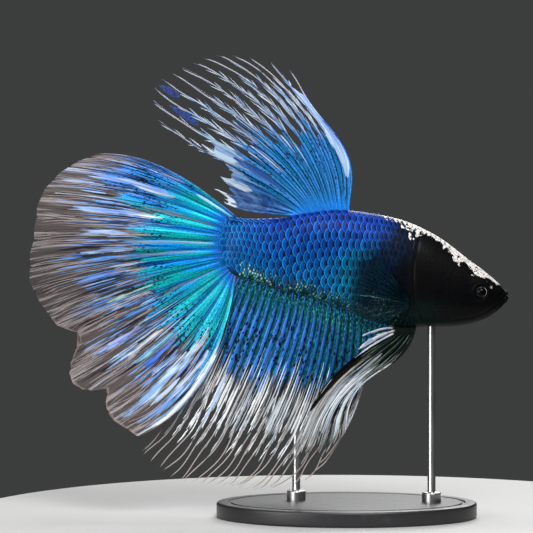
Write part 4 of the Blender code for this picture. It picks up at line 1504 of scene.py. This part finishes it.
def finMaterial(name):
    clearest = name == "pectoral_fin"
    material, shader = newMaterial(name + "Finish", IOR=1.2 if clearest else 1.4, Specular_IOR_Level=0.15)
    values = dict(finColours[name])
    place = readAttribute("finPlace")
    ray, reach, kind = split(place)
    if name == "tail_fin":
        # the upper lobe stays royal blue further out
        upper = ramp(ray, 4.2, 1.0)
        values["InnerEnd"] = upper * 0.28 + 0.49
        values["StreakAt"] = upper * 0.12 + 0.5
        values["StreakLength"] = upper * 0.06 + 0.27
        beyond = upper * ramp(reach, 0.22, 0.45)
        values["Inner"] = mix(beyond, finPaintInputs["Inner"], (0.036, 0.215, 0.82))
        values["Second"] = mix(beyond, finPaintInputs["Second"], (0.016, 0.31, 0.9))
        # and the lower lobe is brighter
        low = ramp(ray, 8.5, 11.5)
        values["Inner"] = mix(low, values["Inner"], (0.014, 0.38, 0.84))
        values["Second"] = mix(low, values["Second"], (0.014, 0.5, 0.62))
        values["Rim"] = ramp(ray, 8.4, 9.0, 0.0, 0.7)
    if name == "anal_fin":
        # broad blue rays at the rear, thin ones among speckled teal at the front
        front = ramp(ray, 8.0, 20.0)
        broken = ramp(streaks(ray, reach, 1.4, 16.0, 21.0, 3.0), 0.62, 0.38)
        vein = mix(front, finColours[name]["Vein"], (0.014, 0.13, 0.6))
        values["Vein"] = mix(broken * (front * 0.4 + 0.35), vein, (0.004, 0.11, 0.34))
        specks = ramp(streaks(ray, reach, 6.0, 60.0, 2.0, 3.0), 0.52, 0.6)
        grains = ramp(streaks(ray, reach, 5.0, 44.0, 6.0, 2.0), 0.53, 0.6)
        values["Root"] = mix(specks, finColours[name]["Root"], (0.03, 0.36, 0.42))
        values["RootEnd"] = front * 0.16 + 0.1
        for zone in ("Inner", "Second"):
            values[zone] = mix(grains * 0.8, finColours[name][zone], (0.006, 0.22, 0.34))
        swell = streaks(ray, reach, 0.9, 9.0, 15.0, 2.0)
        values["VeinWidth"] = ramp(reach, 0.03, 0.2, 0.05, 0.25) * swell * 1.9 * (front * -0.55 + 1.0)
    values["Place"] = place
    paint = placeGroup(finPaint, values)
    colour, alpha = paint["Colour"], paint["Alpha"]
    if name == "dorsal_fin":
        # slate blue flap at the rear
        rear = ramp(ray, 12.4, 13.2) * ramp(reach, 0.02, 0.25)
        mottled = noise(vector(ray * 1.2, reach * 9.0), 1.0, 4.0, 0.7)
        slate = mix(ramp(mottled, 0.42, 0.6), (0.014, 0.055, 0.22), (0.055, 0.17, 0.42))
        colour = mix(rear * 0.85, colour, slate)
        # the flap's rear edge is white and jagged
        hem = ramp(reach + mottled * 0.5 - 0.25, 0.8, 0.86) * ramp(ray, 13.2, 13.6)
        colour = mix(hem, colour, (0.64, 0.74, 0.84))
    if name == "ventral_fin":
        # hardly any web between the short rear rays
        alpha = calc("MAXIMUM", kind, alpha * ramp(ray, 5.75, 5.4, 0.0, 1.0))
    # fine lines run through each streak
    lines = ramp(streaks(ray, reach, 8.0, 3.0, 30.0, 3.0), 0.54, 0.44, 0.0, 0.85)
    for at, start, end, width, tone in finStreaks.get(name, ()):
        streak = placeGroup(oneStreak, {
            "Ray": ray, "Reach": reach, "At": at, "From": start, "To": end, "Width": width})
        darker = tuple(c * d for c, d in zip(tone, (0.35, 0.5, 0.8)))
        colour = mix(streak["Mask"], colour, mix(lines, tone, darker))
        if not clearest:
            alpha = calc("MAXIMUM", alpha, streak["Mask"])
    feed(colour, shader["Base Color"])
    feed(alpha, shader["Alpha"])
    feed(paint["Shine"] * 0.3, shader["Metallic"])
    feed(paint["Shine"] * -0.08 + 0.5, shader["Roughness"])
    bumpOn(shader, paint["Height"], 0.35, 0.00006)
    return material


def featherMaterial(name):
    # torn slips of web take the fin's own blue near the solid part, and are pale beyond
    material, shader = newMaterial(name + "Feathers", Roughness=0.5)
    look = finColours[name]
    _, reach, _ = split(readAttribute("finPlace"))
    across, _, _ = split(readAttribute("leafPlace"))
    lot = readAttribute("lot", "Fac")
    fleck = noise(objectPlace(), 2200.0, 2.0)
    pale = mix(ramp(lot, 0.15, 0.6), look["Streak"], look["Pale"])
    start = lot * 0.16 + look["InnerEnd"] - 0.16
    colour = mix(ramp(reach - start, -0.03, 0.03), look["Inner"], pale)
    blade = mix(ramp(fleck, 0.3, 0.7), (0.002, 0.01, 0.1), (0.008, 0.06, 0.32))
    colour = mix(ramp(lot, 0.12, 0.1), colour, blade)
    colour = mix(ramp(abs(across), 0.7, 1.0), colour, mix(0.5, colour, (0.01, 0.03, 0.12)))
    colour = tinted(colour, mix(ramp(fleck, 0.35, 0.65), (0.8, 0.84, 0.9), (1.08, 1.06, 1.03)))
    feed(colour, shader["Base Color"])
    bumpOn(shader, fleck, 0.3, 0.00003)
    return material


def buildFin(fin, surface, label=""):
    # the web stands in for the fin's part, which is hidden, and the rest goes with it
    name, slot = fin["name"] + label, fin["slot"]
    material = bpy.data.materials.get(fin["name"] + "Finish") or finMaterial(fin["name"])
    web = buildWeb(fin, name + "_web", surface, material)
    rays = buildRays(fin, name + "_rays", surface, material)
    keepPiece(web, slot, name)
    keepPiece(rays, slot)
    if "feathers" in fin:
        torn = featherMaterial(fin["name"])
        keepPiece(buildFeathers(fin, name + "_feathers", surface, torn), slot)


def tailRows():
    fan = []
    for share in np.linspace(0, 1, 41):
        z, length, *headings = smoothRows(tailFin["rows"], share)[0]
        depth = sum(d * bell(share - at, width) for at, d, width in tailFin["notches"])
        fan.append((bowedX(body["stalkEnd"], z) - 0.3, length * (1 - depth), *headings, z))
    return fan


def tailRoot(share, rows):
    return rows[:, 5]


def ventralRoot(share, rows):
    return bodyBottom(share, rows) + 0.2


def pectoralRoot(share, rows):
    return pectoralFin["rootZ"] + pectoralFin["rootHalf"] * (1 - 2 * share)


def buildFins():
    buildFin(dorsalFin, finSurface(dorsalFin["rows"], bodyTop, dorsalFold))
    buildFin(analFin, finSurface(analFin["rows"], bodyBottom, analFold))
    buildFin(tailFin, finSurface(tailRows(), tailRoot, tailFold, 3))
    for side, label in ((-1, "_right"), (1, "_left")):
        shorter = 1.0 if side < 0 else ventralFin["farShare"]
        fan = [(x, length * shorter, *angles) for x, length, *angles in ventralFin["rows"]]
        buildFin(ventralFin, finSurface(fan, ventralRoot, ventralFold(side), inward=0.6), label)
        surface = finSurface(pectoralFin["rows"], pectoralRoot, pectoralFold(side), 3, inward=0.6)
        buildFin(pectoralFin, surface, label)
    print("fins built")


# eyes

def eyeMaterial():
    material, shader = newMaterial(
        "eyeFinish", Roughness=0.25, Coat_Weight=0.06, Coat_Roughness=0.05, Coat_IOR=1.33,
        Specular_IOR_Level=0.1)
    reach, turn, _ = split(readAttribute("eyePlace"))
    fibres = noise(vector(turn * 9.0, reach * 2.0), 3.0, 3.0)
    pupil = ramp(reach, 0.47, 0.44)
    ring = ramp(reach, 0.445, 0.475) * ramp(reach, 0.56, 0.5)
    # painted highlight: the iris's pale margin, drawn only on its front side
    forward = ramp(calc("COSINE", turn * 2 * math.pi), 0.3, 0.9)
    iris = mix(ramp(fibres, 0.35, 0.7), (0.004, 0.005, 0.006), (0.018, 0.022, 0.024))
    iris = mix(ring * forward, iris, (0.6, 0.62, 0.56))
    iris = mix(ramp(reach, 0.78, 0.92), iris, (0.004, 0.004, 0.005))
    colour = mix(pupil, iris, (0.001, 0.001, 0.001))
    feed(colour, shader["Base Color"])
    bumpOn(shader, fibres, 0.2, 0.00004)
    return material


def buildEye(side, label, material):
    # polar rings round the pupil's axis, with a slightly raised cornea
    eyeX, eyeZ, radius = body["eye"]
    axis = np.array([0.16, side, 0.06])  # it looks a little forwards and up
    axis /= np.linalg.norm(axis)
    ahead = np.array([1.0, 0, 0]) - axis * axis[0]
    ahead /= np.linalg.norm(ahead)
    up = np.cross(axis, ahead) * -side
    rings, spokes = 30, 48
    cornea, sunk = 0.05, 0.015
    points, places = [], []
    for j in range(1, rings):
        polar = math.pi * j / rings
        bulge = 1 - sunk + cornea * float(bell(polar, 0.75))
        for i in range(spokes):
            turn = 2 * math.pi * i / spokes
            sideways = ahead * math.cos(turn) + up * math.sin(turn)
            points.append((axis * math.cos(polar) + sideways * math.sin(polar)) * radius * bulge)
            places.append((polar / (math.pi / 2), i / spokes, 0))
    faces = gridFaces(rings - 1, spokes, closed=True)
    front, back = len(points), len(points) + 1
    points += [axis * radius * (1 - sunk + cornea), -axis * radius * (1 - sunk)]
    places += [(0, 0, 0), (2, 0, 0)]
    faces += fans(rings - 1, spokes, front, back)
    placed = np.array(points) + (eyeX, side * body["eyeMiddleY"], eyeZ)
    eye = meshObject("eyeball" + label, placed, faces, material)
    faceOutwards(eye)
    # the turn is stored on corners, so that it doesn't run backwards over the seam
    layer = eye.data.attributes.new("eyePlace", "FLOAT_VECTOR", "CORNER")
    for face in eye.data.polygons:
        values = [places[eye.data.loops[c].vertex_index] for c in face.loop_indices]
        turns = [v[1] for v in values if 0 < v[0] < 2]
        for c, (reach, turn, _) in zip(face.loop_indices, values):
            if max(turns) - min(turns) > 0.5 and turn < 0.5:
                turn += 1.0
            layer.data[c].vector = (reach, turn if 0 < reach < 2 else sum(turns) / len(turns), 0)
    keepPiece(eye, "eye", "eye" + label)


# stand

stand = {
    "half": (26.0, 18.0), "thick": 3.0, "edge": 0.5, "turns": 160,
    "groove": (2.2, 0.8, 0.22),  # from the edge, width, depth
    "flatInside": 8.0,  # the base's middle is a plain ellipse, this far from the edge
    "rodRadius": 0.8, "collar": (1.9, 1.6, 0.3), "rodSides": 40,  # collar: radius, height, rounding
}


def makeWear():
    # fine grain and a little wear, for the base and the rods
    tree, given, out = newGroup("wear", {"Scale": 400.0, "Stretch": 1.0}, "Grain", "Scuff")
    x, y, z = split(objectPlace())
    drawn = vector(x, y, z * given["Stretch"])
    grain = noise(drawn, given["Scale"], 3.0)
    scuff = noise(drawn, given["Scale"] * 0.12, 5.0, 0.7)
    feed(grain, out["Grain"])
    feed(ramp(scuff, 0.55, 0.75), out["Scuff"])
    return tree


wear = makeWear()


def baseMaterial():
    material, shader = newMaterial("standPaint", Specular_IOR_Level=0.5)
    marks = placeGroup(wear, {"Scale": 2600.0, "Stretch": 1.0})
    feed(mix(marks["Scuff"], (0.018, 0.018, 0.02), (0.03, 0.03, 0.033)), shader["Base Color"])
    feed(marks["Scuff"] * 0.14 + marks["Grain"] * 0.12 + 0.3, shader["Roughness"])
    bumpOn(shader, marks["Grain"], 0.25, 0.00003)
    return material


def rodMaterial():
    material, shader = newMaterial("rodSteel", Metallic=1.0)
    marks = placeGroup(wear, {"Scale": 5200.0, "Stretch": 0.03})
    feed(mix(marks["Grain"], (0.42, 0.42, 0.43), (0.66, 0.66, 0.66)), shader["Base Color"])
    feed(marks["Grain"] * 0.2 + 0.2, shader["Roughness"])
    bumpOn(shader, marks["Grain"], 0.2, 0.00002)
    return material


def lathe(profile, place, sides):
    # rings from (radius, z) pairs, bottom to top, closed by points on the axis
    points = []
    for radius, z in profile:
        for i in range(sides):
            a = 2 * math.pi * i / sides
            points.append((place[0] + radius * math.cos(a), place[1] + radius * math.sin(a), z))
    faces = gridFaces(len(profile), sides, closed=True)
    low, high = len(points), len(points) + 1
    points += [(*place, profile[0][1]), (*place, profile[-1][1])]
    return points, faces + fans(len(profile), sides, low, high)


def buildStand():
    (halfX, halfY), thick, edge = stand["half"], stand["thick"], stand["edge"]
    rounded = [(-edge + edge * math.sin(a), edge - edge * math.cos(a))
               for a in np.linspace(0, math.pi / 2, 7)]
    profile = [(halfX - 4.0, 0.0)] + [(halfX + r, z) for r, z in rounded]
    profile += [(halfX + r, thick - z) for r, z in reversed(rounded)]
    # a shallow groove runs round the top, a little in from the edge
    inwards, width, depth = stand["groove"]
    for share, sunk in ((0.0, 0.0), (0.25, depth), (0.75, depth), (1.0, 0.0)):
        profile.append((halfX - inwards - share * width, thick - sunk))
    points, faces = lathe(profile, (0.0, 0.0), stand["turns"])
    oval = []
    for x, y, z in points:
        radius = math.hypot(x, y)
        outer = radius > halfX - stand["flatInside"]
        oval.append((x, y * (halfY + radius - halfX) / radius if outer else y * 0.6, z))
    base = meshObject("standBase", oval, faces, baseMaterial())
    faceOutwards(base)
    smoothUpTo(base, 40)
    keepPiece(base, "stand_black", "stand_base")
    steel = rodMaterial()
    for label in ("front", "rear"):
        low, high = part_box("stand_rod_" + label)
        middle = ((low.x + high.x) / 2 / mm, (low.y + high.y) / 2 / mm)
        foot, top = low.z / mm, high.z / mm + 0.5
        radius, (collar, rise, bevel) = stand["rodRadius"], stand["collar"]
        rise += foot
        profile = [(collar, thick), (collar, rise - bevel)]
        for a in np.linspace(0.2, math.pi / 2, 5):
            profile.append((collar - bevel * (1 - math.cos(a)), rise - bevel * (1 - math.sin(a))))
        for out, up in ((0.25, 0.0), (0.08, 0.1), (0.0, 0.35)):
            profile.append((radius + out, rise + up))
        profile.append((radius, top))
        points, faces = lathe(profile, middle, stand["rodSides"])
        rod = meshObject("rod_" + label, points, faces, steel)
        faceOutwards(rod)
        smoothUpTo(rod, 40)
        keepPiece(rod, "rod_steel", "stand_rod_" + label)
    print("stand built")


# putting it together

skin = buildSkin(skinMaterial())
keepPiece(skin, "black_head",
          "head", "lower_jaw", "gill_cover_right", "gill_cover_left", "trunk", "tail_stalk")
for coat in buildScales(scaleMaterial(), smallScaleMaterial()):
    keepPiece(coat, "blue_scales")
buildFins()
eyeFinish = eyeMaterial()
buildEye(-1, "_right", eyeFinish)
buildEye(1, "_left", eyeFinish)
buildStand()

stage = {
    "middle": (-16.0, 0.0, 50.0), "distance": 400.0, "across": 106.6, "wall": (0.046, 0.047, 0.047),
    "floorRadius": 80.0, "floorSides": 96, "floorColour": (0.5, 0.5, 0.49),
}


def buildStage():
    material, shader = newMaterial("floorPaper", Roughness=0.7)
    darker = tuple(c * 0.96 for c in stage["floorColour"])
    feed(mix(noise(objectPlace(), 60.0, 4.0), stage["floorColour"], darker), shader["Base Color"])
    radius, sides = stage["floorRadius"], stage["floorSides"]
    turns = np.arange(sides) * 2 * math.pi / sides
    ring = [(radius * math.cos(a), radius * math.sin(a), -0.02) for a in turns]
    floor = meshObject("floor", ring, [tuple(range(sides))], material)
    world = bpy.data.worlds.new("studio")
    world.use_nodes = True
    world.node_tree.nodes["Background"].inputs["Color"].default_value = (*stage["wall"], 1.0)
    bpy.context.scene.world = world
    x, y, z = (c * mm for c in stage["middle"])
    cameraData = bpy.data.cameras.new("camera")
    cameraData.lens = cameraData.sensor_width * stage["distance"] / stage["across"]
    cameraData.clip_start = 0.01
    camera = bpy.data.objects.new("camera", cameraData)
    camera.location = (x, y - stage["distance"] * mm, z)
    camera.rotation_euler = (math.pi / 2, 0, 0)
    bpy.context.scene.collection.objects.link(camera)
    bpy.context.scene.camera = camera


def softLight(name, place, size, power):
    data = bpy.data.lights.new(name, "AREA")
    data.shape, data.size, data.energy = "DISK", size, power
    light = bpy.data.objects.new(name, data)
    light.location = place
    aim = np.array([-0.012, 0, 0.05]) - np.array(place)  # the light faces the fish's middle
    flat = math.hypot(aim[0], aim[1])
    light.rotation_euler = (math.atan2(flat, -aim[2]), 0, math.atan2(aim[0], -aim[1]) + math.pi)
    bpy.context.scene.collection.objects.link(light)


buildStage()
softLight("keyLight", (0.1, -0.42, 0.5), 0.3, 3.2)
softLight("fillLight", (-0.4, -0.42, 0.16), 0.4, 2.0)
softLight("topLight", (0.0, 0.08, 0.6), 0.3, 1.6)
softLight("backLight", (0.1, 0.5, 0.35), 0.35, 2.0)
bpy.context.scene.view_settings.view_transform = "Standard"

print("pieces done")
